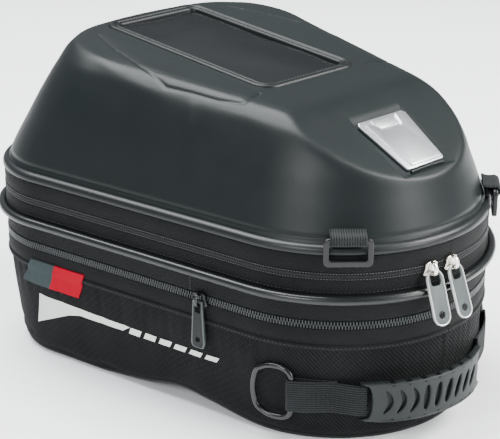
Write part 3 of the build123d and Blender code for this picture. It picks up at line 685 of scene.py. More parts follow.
def settle_cloth(obj, pinned, cap):
    """Cloth simulation of a pinned fabric wall, with how far a point may move capped."""
    mesh = obj.data
    start = np.zeros(len(mesh.vertices) * 3)
    mesh.vertices.foreach_get("co", start)
    group = obj.vertex_groups.new(name="pin")
    group.add(pinned, 1.0, "REPLACE")
    cloth = obj.modifiers.new("cloth", "CLOTH")
    settings = cloth.settings
    settings.quality = 5
    settings.mass = 0.25
    settings.tension_stiffness = settings.compression_stiffness = 18
    settings.shear_stiffness = 6
    settings.bending_stiffness = 0.3
    settings.use_pressure = True
    settings.uniform_pressure_force = 1.2
    settings.shrink_min = settings.shrink_max = -0.025
    settings.vertex_group_mass = "pin"
    settings.effector_weights.gravity = 0.6
    cloth.collision_settings.use_collision = False
    scene = bpy.context.scene
    for step in range(1, 21):
        scene.frame_set(step)
    moved = np.zeros_like(start)
    obj.evaluated_get(bpy.context.evaluated_depsgraph_get()).data.vertices.foreach_get("co", moved)
    obj.modifiers.remove(cloth)
    obj.vertex_groups.clear()
    scene.frame_set(1)
    shift = (moved - start).reshape(-1, 3)
    length = np.linalg.norm(shift, axis=1)[:, None]
    shift *= np.minimum(1.0, cap / np.maximum(length, 1e-9))
    mesh.vertices.foreach_set("co", (start.reshape(-1, 3) + shift).ravel())
    mesh.update()


def lower_wall():
    """Padded fabric wall of the lower bag, slackened by a cloth simulation; gives its search tree."""
    grid = rumpled(lower_rows(-0.3), 0.8, 3)
    rows, columns = grid.shape[:2]
    wall = add_grid("lower_wall_fabric", grid, "ballistic_fabric", "base",
                    replaces=["lower_wall"], angle=180)
    pinned = [k for r in (0, 1, rows - 2, rows - 1) for k in range(r * columns, (r + 1) * columns)]
    settle_cloth(wall, pinned, WALL_SLACK * MM)
    refine = wall.modifiers.new("smooth", "SUBSURF")
    refine.levels = refine.render_levels = 1
    thick = wall.modifiers.new("thick", "SOLIDIFY")
    thick.thickness = WALL_T * MM
    thick.offset = -1.0
    graph = bpy.context.evaluated_depsgraph_get()
    return BVHTree.FromObject(wall.evaluated_get(graph), graph)


def on_wall(tree, side, y, z):
    """Point and outward normal of the wall, seen from one side at y and z, in millimetres."""
    reached = min(z, SEAM_Z - 0.7)
    hit, normal, _, _ = tree.ray_cast(Vector((side * 0.3, y * MM, reached * MM)), Vector((-side, 0, 0)))
    if normal.x * side < 0:
        normal = -normal
    over_seam = smooth((z - SEAM_Z + 6) / 4) * np.array([side * 1.3, 0, 0])
    return np.array(hit) / MM + over_seam + np.array([0, 0, z - reached]), np.array(normal)


def patch_mesh(tree, side, corners, thickness, steps=(24, 8)):
    """Thin four-cornered patch that lies on the wall; corners are (y, z), rear foot first."""
    a, b, c, d = np.array(corners, float)
    outer, inner = [], []
    for v in np.linspace(0, 1, steps[1]):
        for u in np.linspace(0, 1, steps[0]):
            y, z = (a * (1 - u) + b * u) * (1 - v) + (d * (1 - u) + c * u) * v
            point, normal = on_wall(tree, side, y, z)
            outer.append(point + normal * thickness)
            inner.append(point - normal * 0.2)
    count = len(outer)
    faces = grid_faces(steps[1], steps[0], False)
    faces += [[i + count for i in f][::-1] for f in faces]
    rim = ([k for k in range(steps[0])] + [r * steps[0] + steps[0] - 1 for r in range(1, steps[1])]
           + [count - 1 - k for k in range(1, steps[0])] + [r * steps[0] for r in range(steps[1] - 2, 0, -1)])
    faces += [[i, j, j + count, i + count] for i, j in zip(rim, rim[1:] + rim[:1])]
    return np.array(outer + inner), faces


def prints(tree):
    """Reflective swoosh and dashes printed on both sides."""
    stripes = [
        [(62, 41.5), (73, 38.5), (92, 48), (64, 47.3)], [(73, 38.5), (105, 24), (99, 49), (92, 48)],
        [(24, 41), (62, 41.5), (64, 47.3), (17, 45.5)],
    ]
    for index in range(6):
        y, half = 12.5 - 13.0 * index, 2.5 - 0.14 * index
        stripes.append([(y - 3.6, 43 - half), (y + 6, 43 - half), (y + 3.6, 43 + half), (y - 6, 43 + half)])
    for name, side in SIDES.items():
        points, faces = joined([patch_mesh(tree, side, stripe, 0.22) for stripe in stripes])
        add_piece(f"reflective_stripes_{name}", points, faces, "print_reflective", "base",
                  uvs=points[:, 1:], replaces=[f"reflective_print_{name}"])


def labels(tree):
    """Slanted two-colour woven label hanging from the seam on the left side."""
    for index, tone in enumerate(("red", "grey")):
        feet = [(y, 56.0) for y in LABEL_FEET[index:index + 2]]
        tops = [(y, 76.0) for y in LABEL_TOPS[index:index + 2]]
        points, faces = patch_mesh(tree, -1, feet + tops[::-1], 1.1, (30, 12))
        add_piece(f"woven_label_{tone}", points, faces, f"label_{tone}", "base",
                  uvs=points[:, 1:], replaces=[f"side_label_{tone}"])


def seam_binding():
    """Folded binding along the seam between the wall and the rim, with its stitches."""
    profile = [(-1.6, 72.4), (0.2, 72.6), (0.9, 71.9), (0.9, 69.6), (0.3, 68.9), (-1.2, 69.0)]
    add_grid("seam_binding", rumpled(hoop_rows(profile), 0.3, 8), "band_fabric", "base")
    add_stitches("seam_stitches", hoop_stitches(0.85, 70.6), "thread_dark", "base")


def plate_edge():
    """Rounded rubber edging where the wall meets the saddle plate."""
    rows = lower_rows(-1.4, 2, lift=1.3)[1]
    add_tube("plate_edging", rows, 1.5, "trim_rubber", "base", 10, slot=None)


def lower_lining():
    """Lining tub of the lower bag: its walls and a floor that follows the saddle arch."""
    walls = lower_rows(-5.4, 12, SEAM_Z - 1, PLATE_T + LINING_LIFT, 200, ARCH_CURVE)
    rim = walls[-1][:, :2]
    rings = []
    for t in np.linspace(0, 1, 14)[1:]:
        plan = rim - rim * t * 0.985
        rings.append(at_height(plan, arch_height(plan[:, 1]) + PLATE_T + LINING_LIFT))
    grid = np.concatenate([walls, np.array(rings)])
    lining = add_grid("lower_bag_lining", grid, "lining_fabric", "base",
                      replaces=["lower_lining", "bottom_board"], angle=180)


# ================================================================ bands, zips and piping
def fabric_band(body, node, low, high, seed):
    """Fabric hoop between two heights, folded over at both edges."""
    fold = [(-1.9, 0.6), (-1.5, 0.05), (-0.3, 0.0), (0.0, 0.35)]
    profile = [(offset, low + z) for offset, z in fold]
    profile += [(0.5 * sin(pi * t) - 0.05, low + (high - low) * t) for t in np.linspace(0.08, 0.92, 11)]
    profile += [(offset, high - z) for offset, z in reversed(fold)]
    band = add_grid(f"{node}_fabric", rumpled(hoop_rows(profile), 0.35, seed), "band_fabric", body,
                    replaces=[node], angle=60)


def teeth(name, zip_z, side, pitch, size, body, node, kind, offset):
    """Row of moulded zip teeth all round the bag, on one half of the zip."""
    plan, normal = outline(offset)
    at = distances(plan)
    places = np.arange(pitch / 4 + (pitch / 2 if side > 0 else 0), at[-1], pitch)
    w, h, d = size
    origins = at_height(sampled(plan, at, places), zip_z + side * h * 0.36)
    out = unit(at_height(sampled(normal, at, places), 0.0))
    up = np.tile([0, 0, float(side)], (len(places), 1))
    square = [(-1, -1), (1, -1), (1, 1), (-1, 1)]
    block = [(x * w / 2 * wide, y * h / 2 * tall, lift * d)
             for lift, wide, tall in ((0, 1.0, 1.0), (0.7, 1.0, 0.8), (1.0, 0.62, 0.8)) for x, y in square]
    block_faces = grid_faces(3, 4) + end_caps(3, 4)[1:]
    points, faces = repeated(block, block_faces, origins, np.cross(up, out), up, out)
    add_piece(name, points, faces, kind, body, replaces=[node], angle=30)


def zip_tape(name, zip_z, side, body, offset, reach):
    """Woven tape of one half of a zip, rolled at the opening."""
    roll = [(-1.2, reach), (0.0, reach - 0.3), (0.15, 1.1), (0.1, 0.35), (-0.3, 0.1), (-1.6, 0.1)]
    rows = hoop_rows([(offset + out, zip_z + side * z) for out, z in roll])
    add_grid(name, rows, "zip_tape", body, slot="band_fabric")


def zips():
    """Main zip with hidden coil, and expansion zip with visible teeth."""
    for side, body, word in ((-1, "collar", "lower"), (1, "lid", "upper")):
        zip_tape(f"main_zip_tape_{word}", MAIN_Z, side, body, 0.25, 2.6)
        teeth(f"main_zip_coil_{word}", MAIN_Z, side, 1.5, (0.7, 1.1, 0.5), body,
              f"main_zip_{word}_teeth", "zip_coil", 0.1)
        add_stitches(f"main_zip_stitches_{word}", hoop_stitches(0.42, MAIN_Z + side * 1.9, 1.9, 1.2, 0.26),
                     "thread_grey", body)
    for side, body, word in ((-1, "base", "lower"), (1, "collar", "upper")):
        zip_tape(f"expansion_zip_tape_{word}", EXPANSION_Z, side, body, -0.8, 3.4)
        teeth(f"expansion_zip_teeth_{word}", EXPANSION_Z, side, 2.0, (1.15, 3.3, 1.1), body,
              f"expansion_zip_{word}_teeth", "zip_teeth_grey", -0.55)


def piping():
    """Glossy round piping on the collar, sewn in along its flange."""
    around = np.arange(20) / 20 * 2 * pi
    profile = [(3.25 + PIPING_R * cos(t), PIPING_Z + PIPING_R * sin(t)) for t in around]
    add_grid("piping_cord", hoop_rows(profile), "piping_gloss", "collar", wrap_rows=True,
             replaces=["collar_piping"], angle=180)
    for word, side in (("upper", 1), ("lower", -1)):
        add_stitches(f"piping_stitches_{word}", hoop_stitches(0.55, PIPING_Z + side * 4.3, 2.6, 1.7, 0.24),
                     "thread_dark", "collar")


def end_seam():
    """Short upright row of stitches where the expansion zip's tape ends on the left side."""
    places = [left_frame(EXPANSION_ALONG + 9.0, 0.55, z) for z in np.linspace(90.2, 101.0, 24)]
    stitches = stitch_line([p[0] for p in places], [p[3] for p in places], 1.9, 1.3, 0.3)
    add_stitches("zip_end_stitches", stitches, "thread_grey", "collar")


def gusset():
    """Spare fabric folded inside the rim, which on the bag pays out when the collar rises; this piece stays
    fixed as built.
    """
    heights = np.linspace(SEAM_Z - 4, EXPANSION_Z - 0.8, 31)
    profile = [(-3.9 - 2.7 * (1 - cos(k * pi / 3)), z) for k, z in enumerate(heights)]
    bellows = add_grid("expansion_bellows", hoop_rows(profile, 320), "gusset_fabric", None,
                       replaces=["expansion_gusset"], slot="lining_fabric", angle=180)
    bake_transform(bellows)


def collar_lining():
    """Cloth lining round the inside of the collar."""
    profile = [(-2.5 - 0.5 * sin(pi * t), 87.6 + 31.2 * t) for t in np.linspace(0, 1, 10)]
    lining = add_grid("collar_lining_cloth", rumpled(hoop_rows(profile, 320), 0.3, 21), "lining_fabric",
                      "collar", replaces=["collar_lining"], angle=180)


def trim():
    """Satin rubberised strip that covers the shell's edge."""
    profile = [(-2.4, 133.9), (0.2, 134.1), (1.15, 134.7), (1.35, 135.8), (1.15, 137.2), (0.5, 138.6),
               (-0.6, 139.6), (-2.0, 140.2), (-3.4, 140.2)]
    add_grid("trim_strip_satin", hoop_rows(curve_through(profile, 22)), "trim_rubber", "lid",
             replaces=["trim_strip"], angle=60)


def hinge_tape():
    """Fabric strip over the front of the main zip, which is the lid's hinge."""
    profile = [(0.3, 132.6), (1.0, 132.9), (1.2, 132.0), (1.25, 128), (1.25, 124), (1.2, 121.2), (0.6, 120.7)]
    x, y = outline()[0].T
    front = (np.abs(x) < 55) & (y > 0)
    rows = hoop_rows(profile)[:, front]
    tape = add_grid("hinge_tape_fabric", rows, "band_fabric", "lid", wrap_columns=False,
                    replaces=["lid_hinge_tape"])


# ================================================================ lid shell
def line_distance(x, y, line):
    """Distance in plan from each point to a line of points, mirrored on both halves."""
    p = np.stack([-np.abs(x), y], -1)
    best = np.full(x.shape, 1e9)
    for a, b in zip(line, line[1:]):
        a, b = np.array(a, float), np.array(b, float)
        t = np.clip(((p - a) @ (b - a)) / ((b - a) @ (b - a)), 0, 1)
        best = np.minimum(best, np.linalg.norm(p - a - t[..., None] * (b - a), axis=-1))
    return best


def inside(x, y, loop):
    """Whether each point lies in the closed loop, mirrored on both halves."""
    px = -np.abs(x)
    result = np.zeros(x.shape, bool)
    for (ax, ay), (bx, by) in zip(loop, loop[1:] + loop[:1]):
        if ay != by:
            cross = (ay > y) != (by > y)
            result ^= cross & (px < (bx - ax) * (y - ay) / (by - ay) + ax)
    return result


def grid_normals(grid):
    """Outward normal at each point of a grid whose columns wrap."""
    normal = np.cross(np.roll(grid, -1, 1) - np.roll(grid, 1, 1), np.gradient(grid, axis=0))
    return normal / np.maximum(np.linalg.norm(normal, axis=-1), 1e-9)[..., None]


def shell_grid(side_rows=84, deck_rows=34, inset=0.0, detail=True):
    """Grid of the shell from its foot to the window rim, with its moulded details."""
    profile = curve_through(SHELL_PROFILE, side_rows, 2)
    profile[:, 0] -= inset
    profile[:, 1] -= inset * smooth((profile[:, 1] - 190) / 20)
    offset, z, cut, tilt, rounding = profile[-1]
    rim = outline(offset, cut, rounding)[0]
    centre = np.array([0.0, WINDOW_Y])
    ray = unit(rim - centre)
    goal = centre + ray * rectangle_reach(ray, FRAME_HALF, 12.0)[:, None]
    deck = [tilted(rim + (goal - rim) * k / deck_rows, z, tilt) for k in range(1, deck_rows + 1)]
    grid = np.concatenate([hoop_rows(profile), np.array(deck)])
    if detail:
        grid = grid + grid_normals(grid) * relief(grid)[..., None]
    return faceted(grid, inset)


def rectangle_reach(direction, half, radius):
    """Distance from a rounded rectangle's centre to its edge along each direction."""
    d = np.abs(direction)
    reach = np.minimum(half[0] / np.maximum(d[:, 0], 1e-9), half[1] / np.maximum(d[:, 1], 1e-9))
    corner = np.array([half[0] - radius, half[1] - radius])
    b = d @ corner
    arc = b + np.sqrt(np.maximum(b**2 - (corner @ corner - radius**2), 0))
    at = d * reach[:, None]
    return np.where((at[:, 0] > corner[0]) & (at[:, 1] > corner[1]), arc, reach)


def relief(grid):
    """How far the moulded details stand out from the plain shell."""
    x, y, z = grid[..., 0], grid[..., 1], grid[..., 2]
    groove = line_distance(x, y, LEAF_PANEL[:9])
    edge = np.minimum(groove, line_distance(x, y, LEAF_PANEL[8:]))
    push = np.where(inside(x, y, LEAF_PANEL), 0.45 * smooth(edge / 7), 0.0)
    push -= 0.8 * np.exp(-(groove / 0.8) ** 2) * (z > 185)
    push += 0.5 * np.exp(-(line_distance(x, y, SIDE_CREASE) / 4.5) ** 2) * smooth((z - 168) / 12)
    push += 0.5 * np.exp(-(line_distance(x, y, SHOULDER) / 5.0) ** 2) * smooth((z - 165) / 12)
    foot = np.exp(-((z - 143.5) / 1.2) ** 2) * (z < 150)
    return push - 0.7 * foot


def faceted(grid, inset):
    """The shell cut by the sloping nose facet, with a softly rounded edge and a bed for the badge."""
    run, climb = np.subtract(FACET_TOP, FACET_FOOT)
    along = grid[..., 1] - FACET_FOOT[0]
    bed = smooth((25.0 - np.abs(grid[..., 0])) / 2.5) * smooth((along - 5) / 3) * smooth((56 - along) / 4)
    plane = FACET_FOOT[1] + 1.2 + along * climb / run - inset - 1.3 * bed
    lower, gap = np.minimum(grid[..., 2], plane), np.abs(grid[..., 2] - plane)
    eased = lower - FACET_SOFTNESS * np.log1p(np.exp(-gap / FACET_SOFTNESS))
    grid[..., 2] = np.where(grid[..., 1] < FACET_TOP[0] + 30, eased, grid[..., 2])
    return grid


def shell():
    """Thermoformed lid shell, with a turned-in edge at its foot."""
    grid = shell_grid()
    foot = hoop_rows([(-8.0, 139.6), (-4.2, 139.6)])
    add_grid("lid_shell", np.concatenate([foot, grid]), "shell_molded", "lid",
             replaces=["top_shell"], angle=60)


def lid_lining():
    """Cloth lining glued under the shell."""
    grid = shell_grid(30, 10, 4.6, False)[:, ::2]
    lining = add_grid("lid_lining_cloth", grid, "lining_fabric", "lid",
                      replaces=["lid_lining"], angle=180)


# ================================================================ window, pocket and badge
def rounded_rows(profile, half, radius):
    """Rows round a rounded rectangle on the deck: each is (distance in from the edge, height)."""
    rows = []
    for inwards, z in profile:
        width, height = 2 * (half[0] - inwards), 2 * (half[1] - inwards)
        corners = np.reshape(rounded_loop(width, height, max(radius - inwards, 0.6), 14), (4, 14, 2))
        loop = []
        for corner, following in zip(corners, np.roll(corners, -1, 0)):
            loop += [*corner, *np.linspace(corner[-1], following[0], 12)[1:-1]]
        rows.append(at_height(np.array(loop) + (0, WINDOW_Y), z))
    return on_deck(np.array(rows))


def window():
    """Welded double rim, clear film and the pocket for a telephone under it."""
    profile = [(-1.2, 1.0), (-0.6, 2.2), (0.2, 3.0), (1.4, 3.4), (2.8, 3.3), (3.8, 2.5), (4.3, 2.1),
               (4.8, 2.5), (5.6, 2.75), (6.6, 2.6), (7.6, 1.8), (8.2, 0.4), (8.4, -0.8)]
    add_grid("window_rim_welded", rounded_rows(curve_through(profile, 30), FRAME_HALF, 13.0), "window_rim",
             "lid", replaces=["window_frame"], angle=60)
    add_stitches("window_stitches", window_stitches(), "thread_grey", "lid")
    x, y = np.meshgrid(np.linspace(-38, 38, 30), np.linspace(-80.5, 80.5, 60))
    ripple = 0.18 * np.sin(x / 9 + y / 17) + 0.14 * np.sin(y / 11 - x / 23) - 0.5 * np.cos(x / 38 * pi / 2)
    add_grid("clear_window_film", on_deck(np.stack([x, y + WINDOW_Y, ripple], -1)), "clear_film", "lid",
             wrap_columns=False, replaces=["window_film"], angle=180)
    rows = rounded_rows([(0, -3.4), (0.1, -8), (0.5, -12.2), (2.4, -13.9), (8, -14.2)], (39.5, 80.0), 5.0)
    faces = grid_faces(*rows.shape[:2]) + end_caps(*rows.shape[:2])[1:]
    points = rows.reshape(-1, 3)
    pocket = add_piece("phone_pocket_cloth", points, faces, "gusset_fabric", "lid",
                       uvs=points[:, :2], replaces=["phone_pocket"], slot="lining_fabric")


def window_stitches():
    """Two short runs of stitches, in the groove of the rim at both ends."""
    parts = []
    for end in (-1, 1):
        y = WINDOW_Y + end * (FRAME_HALF[1] - 4.3)
        path = on_deck([(x, y, 2.25) for x in np.linspace(-33, 33, 40)])
        normals = np.tile([0, -sin(DECK_TILT), cos(DECK_TILT)], (40, 1))
        parts.append(stitch_line(path, normals, 2.7, 1.9, 0.42))
    return joined(parts)


def badge():
    """Blank satin badge: a plate with a raised face that a sunk tongue steps down from."""
    up = unit(np.array([0, *np.subtract(FACET_TOP, FACET_FOOT)]))
    out = np.array([0, -up[2], up[1]])
    origin = np.array([0, *FACET_TOP]) - up * BADGE_FROM_TOP + out * 0.2
    place = (origin, np.array([1.0, 0, 0]), up, out)
    layers = [(BADGE_PLATE, 1.0, 2.0, 0.6), (BADGE_FACE, 2.3, 1.4, 0.6), (BADGE_TONGUE, 2.1, 0.9, 0.4)]
    parts = []
    for loop, z, thickness, bevel in layers:
        verts, faces = flat_shape(loop, [], thickness, bevel)
        parts.append((placed(verts + (0, 0, z), place), faces))
    add_piece("blank_badge", *joined(parts), "badge_metal", "lid", replaces=["badge_plate"], angle=25)
    lip = [(x, -25.2 + 0.6 * cos(x / 12), 0.4) for x in np.linspace(-15, 15, 24)]
    add_tube("badge_foot_lip", placed(lip, place), 1.0, "shell_molded", "lid", 10, False, slot=None)


# ================================================================ webbing
def add_ribbon(name, path, thickness, width, across, body, **options):
    """Flat webbing along a path, as wide as stated in the direction across, with soft edges."""
    path, across = np.array(path, float), np.array(across, float)
    out = unit(np.cross(across, np.gradient(path, axis=0)))
    w, t = width / 2, thickness / 2
    top = [(-w, 0), (-w + 0.3, t * 0.8), (-w * 0.8, t), (-w * 0.3, t), (w * 0.3, t), (w * 0.8, t),
           (w - 0.3, t * 0.8)]
    section = top + [(-a, -b) for a, b in top]
    grid = np.stack([path + across * a + out * b for a, b in section], 1)
    faces = grid_faces(len(path), len(section)) + end_caps(len(path), len(section))
    uvs = np.array([[s, a] for s in distances(path) for a, _ in section])
    return add_piece(name, grid.reshape(-1, 3), faces, "webbing", body, uvs=uvs, angle=60,
                     **options)


def shell_radius(z):
    """Radius of the shell's outer face at the nose at height z."""
    lean = [(h - (NOSE_R + o - NOSE_Y) * sin(radians(t)), NOSE_R + o) for o, h, _, t, _ in SHELL_PROFILE]
    return np.interp(z, [p[0] for p in lean], [p[1] for p in lean])


def strap_loops():
    """Webbing tabs folded round the top bars of the rectangular rings, and the rings."""
    for name, side in SIDES.items():
        a = radians(side * STRAP_ANGLE)
        across = np.array([cos(a), sin(a), 0])
        foot, head = shell_radius(144) + 1.2, shell_radius(149) + 1.0
        turn = [(STRAP_R + 3.1 * cos(t), STRAP_Z + 3.1 * sin(t)) for t in np.linspace(1.9, -2.0, 12)]
        knots = [(head + 0.2, 149.6), (head + 0.9, 149.2), *turn, (foot + 1.4, 144.2), (foot + 0.8, 141.6)]
        line = curve_through(knots, 60)
        path = nose_points(np.full(len(line), a), line[:, 0], line[:, 1])
        add_ribbon(f"strap_tab_{name}", path, WEBBING_T, STRAP_W, across, "lid",
                   replaces=[f"strap_loop_{name}"])
        outer = rounded_loop(RING_W, RING_H, 3.5, centre=(0, (RING_BAR - RING_H) / 2))
        gap = RING_H - 2 * RING_BAR - 1.0
        hole = rounded_loop(STRAP_W + 0.8, gap, 1.4, centre=(0, -RING_BAR / 2 - gap / 2))
        verts, faces = flat_shape(outer, [hole], RING_T, 0.8)
        place = nose_frame(side * STRAP_ANGLE, STRAP_R, STRAP_Z)
        add_piece(f"rectangular_ring_{name}", placed(verts, place), faces, "ring_plastic",
                  f"strap_ring_{name}", replaces=[f"strap_ring_{name}"], angle=40)


def arc_path(start, end, radii):
    """Path of forty points round the nose between two angles, with a radius at each end."""
    radius = radii[0] + (radii[1] - radii[0]) * smooth(np.linspace(0, 1, 40))
    return nose_points(np.radians(np.linspace(start, end, 40)), radius, HANDLE_Z)


def handle_webbing():
    """Webbing of the handle: stitched patches, the loops round the D-rings, and the straps."""
    for name, side in SIDES.items():
        ring = D_RING_ANGLES[name]
        inner, end = HANDLE_CENTRE + side * PATCH_REACH, HANDLE_CENTRE + side * STRAP_REACH
        origin, x, _, out = nose_frame(ring, WEBBING_R + D_RING_OUT, HANDLE_Z)
        loop = [origin + 3.2 * (side * x * sin(t) - out * cos(t)) for t in np.linspace(0, pi, 16)]
        lower = arc_path(inner, ring, (WEBBING_R + 0.9, WEBBING_R + 0.9))
        upper = arc_path(ring, inner, (WEBBING_R + 6.6, WEBBING_R + 2.6))[2:]
        path = np.concatenate([lower[:-1], loop[1:], upper])
        add_ribbon(f"handle_webbing_{name}", path, WEBBING_T, WEBBING_W, (0, 0, 1), "base",
                   replaces=[f"handle_patch_{name}"])
        add_stitches(f"handle_box_stitches_{name}", box_stitches(inner, side), "thread_dark", "base")
        path = arc_path(inner + side * 3.0, end, (WEBBING_R + 3.2, GRIP_END_R + 2.6))
        strap = add_ribbon(f"handle_strap_webbing_{name}", path, WEBBING_T, WEBBING_W - 0.6, (0, 0, 1), None,
                           replaces=[f"handle_strap_{name}"])
        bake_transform(strap)


def box_stitches(inner, side):
    """Box with a cross stitched through the webbing where it lies on the wall."""
    low, high = HANDLE_Z - 8.2, HANDLE_Z + 8.2
    a, b = inner + side * 1.0, inner + side * 8.0
    lines = [
        [(a, low), (b, low), (b, high), (a, high), (a, low)], [(a, low), (b, high)], [(b, low), (a, high)],
    ]
    parts = []
    for line in lines:
        line = np.array(line)
        at = distances(line)
        angle, z = sampled(line, at, np.linspace(0, at[-1], 50)).T
        angle = np.radians(angle)
        normals = nose_points(angle, 1.0, 0.0) - (0, NOSE_Y, 0)
        parts.append(stitch_line(nose_points(angle, WEBBING_R + 3.6, z), normals, 2.4, 1.7, 0.3))
    return joined(parts)


def corners_cut(points):
    """Closed loop with its corners cut three times."""
    p = np.array(points, float)
    for _ in range(3):
        after = np.roll(p, -1, 0)
        p = np.stack([p * 0.8 + after * 0.2, p * 0.2 + after * 0.8], 1).reshape(-1, p.shape[1])
    return p


def d_rings():
    """Round-wire D-rings beside the handle."""
    for name, side in SIDES.items():
        corners = [(0, -13.5), (0, 0), (0, 13.5), (side * 5.5, 18), (side * 16, 18.2), (side * 25.5, 13.5),
                   (side * 28, 0), (side * 25.5, -13.5), (side * 16, -18.2), (side * 5.5, -18)]
        origin, x, y, out = nose_frame(D_RING_ANGLES[name], WEBBING_R + D_RING_OUT, HANDLE_Z)
        a = radians(side * 8)
        swung = (origin, x * cos(a) - out * sin(a), y, out * cos(a) + x * sin(a))
        path = placed(at_height(corners_cut(corners), 0.0), swung)
        add_tube(f"wire_d_ring_{name}", path, 2.0, "ring_wire", f"d_ring_{name}", 16,
                 replaces=[f"d_ring_{name}"], angle=180)


# ================================================================ grip
def grip_bend(points):
    """Flat grip points bent to the handle's bow: x is arc length, z is outwards from mid-thickness."""
    p = np.asarray(points, float)
    phi = p[:, 0] / GRIP_ARC_R
    share = np.clip(np.degrees(np.abs(phi)) / GRIP_HALF, 0, 1.1)
    radius = GRIP_MID_R + (GRIP_END_R - GRIP_MID_R) * share**2 + GRIP_T / 2 + p[:, 2]
    return nose_points(radians(HANDLE_CENTRE) + phi, radius, HANDLE_Z + p[:, 1])


def grip_outline():
    """Outline of the grip: fishtail ends, and small nicks along both edges."""
    half, h = GRIP_ARC_R * radians(GRIP_HALF), GRIP_H / 2
    loop = []
    for end in (1, -1):
        loop += [(end * (half - 1), end * h * 0.93), (end * (half - 14), end * h)]
        for k in range(-3, 4):
            x = -end * k * 10.5
            loop += [(x + end * 1.8, end * h), (x, end * (h - 2.2)), (x - end * 1.8, end * h)]
        loop += [(-end * (half - 14), end * h), (-end * (half - 1), end * h * 0.93)]
        loop += [(-end * (half - 5 - 4 * cos(t)), end * h * 0.86 * sin(t)) for t in np.linspace(1.2, -1.2, 9)]
    kept = loop[:1]
    for point in loop[1:]:
        if np.hypot(point[0] - kept[-1][0], point[1] - kept[-1][1]) > 0.3:
            kept.append(point)
    return kept


def grip_slots():
    """Nine slots through the grip: crescents on the left, then ellipses that lean more and more."""
    slots = []
    for index in range(9):
        lean = radians(-5 - 4.5 * max(index - 3, 0))
        bow = -3.6 if index < 3 else 0.0
        width = (1.5, 2.2, 1.8)[index // 3]
        slots.append(ellipse((index - 4) * 8.6 - bow / 2, 0, width, 8.8 - 0.3 * abs(index - 3), lean, bow))
    return slots


def grip():
    """Moulded rubber grip, the plate that closes its slots from behind, and a bead along both edges."""
    verts, faces = flat_shape(grip_outline(), grip_slots(), GRIP_T, 0.9)
    verts, faces = sliced(verts, faces, np.arange(-52, 52.1, 2.0))
    add_piece("rubber_grip", grip_bend(verts), faces, "grip_rubber", "handle",
              replaces=["handle_grip"], angle=35)
    verts, faces = sliced(*flat_shape(rounded_loop(84, 21, 9), [], 1.6, 0.3), np.arange(-42, 42.1, 3.0))
    verts[:, 2] -= GRIP_T / 2 - 1.2
    add_piece("grip_backing", grip_bend(verts), faces, "pull_rubber", "handle", slot="grip_rubber", angle=35)
    parts = []
    for edge in (-1, 1):
        line = [(x, edge * (GRIP_H / 2 - 0.9), GRIP_T / 2 - 0.3) for x in np.linspace(-38, 38, 40)]
        parts.append(tube(grip_bend(line), 0.7, 8, False))
    add_piece("grip_edge_beads", *joined(parts), "grip_rubber", "handle")


# ================================================================ sliders and pullers
def slider_parts():
    """Slider on its local plane: a waisted plate, a raised spine and the arch for its puller."""
    loop = [(-5.4, -4.5), (5.4, -4.5), (6.25, -3.2), (4.6, 0.6), (4.4, 3.6), (2.6, 4.5), (-2.6, 4.5),
            (-4.4, 3.6), (-4.6, 0.6), (-6.25, -3.2)]
    plate, plate_faces = flat_shape(loop, [], 2.2, 0.6)
    spine, spine_faces = flat_shape(rounded_loop(3.4, 8.6, 1.4), [], 1.2, 0.5)
    arch = curve_through([(0, -3.9, 2.0), (0, -3.7, 5.2), (0, -2.2, 6.6), (0, 0, 6.9), (0, 2.2, 6.6),
                          (0, 3.7, 5.2), (0, 3.9, 2.0)], 26)
    bow, bow_faces = tube(arch, 0.85, 10, False)
    return joined([(plate + (0, 0, 1.4), plate_faces), (spine + (0, 0, 2.7), spine_faces),
                   (bow * (1.7, 1, 1), bow_faces)])


def puller_parts():
    """Core and bright rim of a main puller, hanging from its top bar."""
    middle = (0, 1.0 - PULLER_L / 2)
    outer = rounded_loop(PULLER_W, PULLER_L, PULLER_W / 2 - 0.2, 12, middle)
    inner = rounded_loop(PULLER_W - 1.8, PULLER_L - 1.8, PULLER_W / 2 - 1.2, 12, middle)
    bed = rounded_loop(PULLER_W - 2.0, PULLER_L - 2.0, PULLER_W / 2 - 1.3, 12, middle)
    opening = rounded_loop(7.6, 8.4, 2.4, 6, (0, -5.2))
    hole = ellipse(0, 8.0 - PULLER_L, 2.5, 2.5)
    return flat_shape(inner, [opening, hole], 1.5, 0.25), flat_shape(outer, [bed], 2.1, 0.5)


def add_hardware(name, shape, place, surface, body, **options):
    """Piece of a slider or puller, from local points put in place."""
    add_piece(name, placed(shape[0], place), shape[1], surface, body, angle=35, **options)


def main_zip_hardware():
    """Two nickel sliders side by side at the nose, with their pullers."""
    for name, angle in SLIDER_ANGLES.items():
        add_hardware(f"nickel_slider_{name}", slider_parts(), nose_frame(angle, NOSE_R + 0.3, MAIN_Z),
                     "slider_metal", f"slider_{name}", replaces=[f"main_slider_{name}"])
        place = leaned(nose_frame(angle, NOSE_R + PIVOT_OUT, MAIN_Z - PIVOT_DROP), PULLER_LEAN)
        core, rim = puller_parts()
        add_hardware(f"puller_core_{name}", core, place, "puller_satin", f"puller_{name}",
                     replaces=[f"main_puller_{name}"])
        add_hardware(f"puller_rim_{name}", rim, place, "puller_rim", f"puller_{name}", slot="puller_satin")


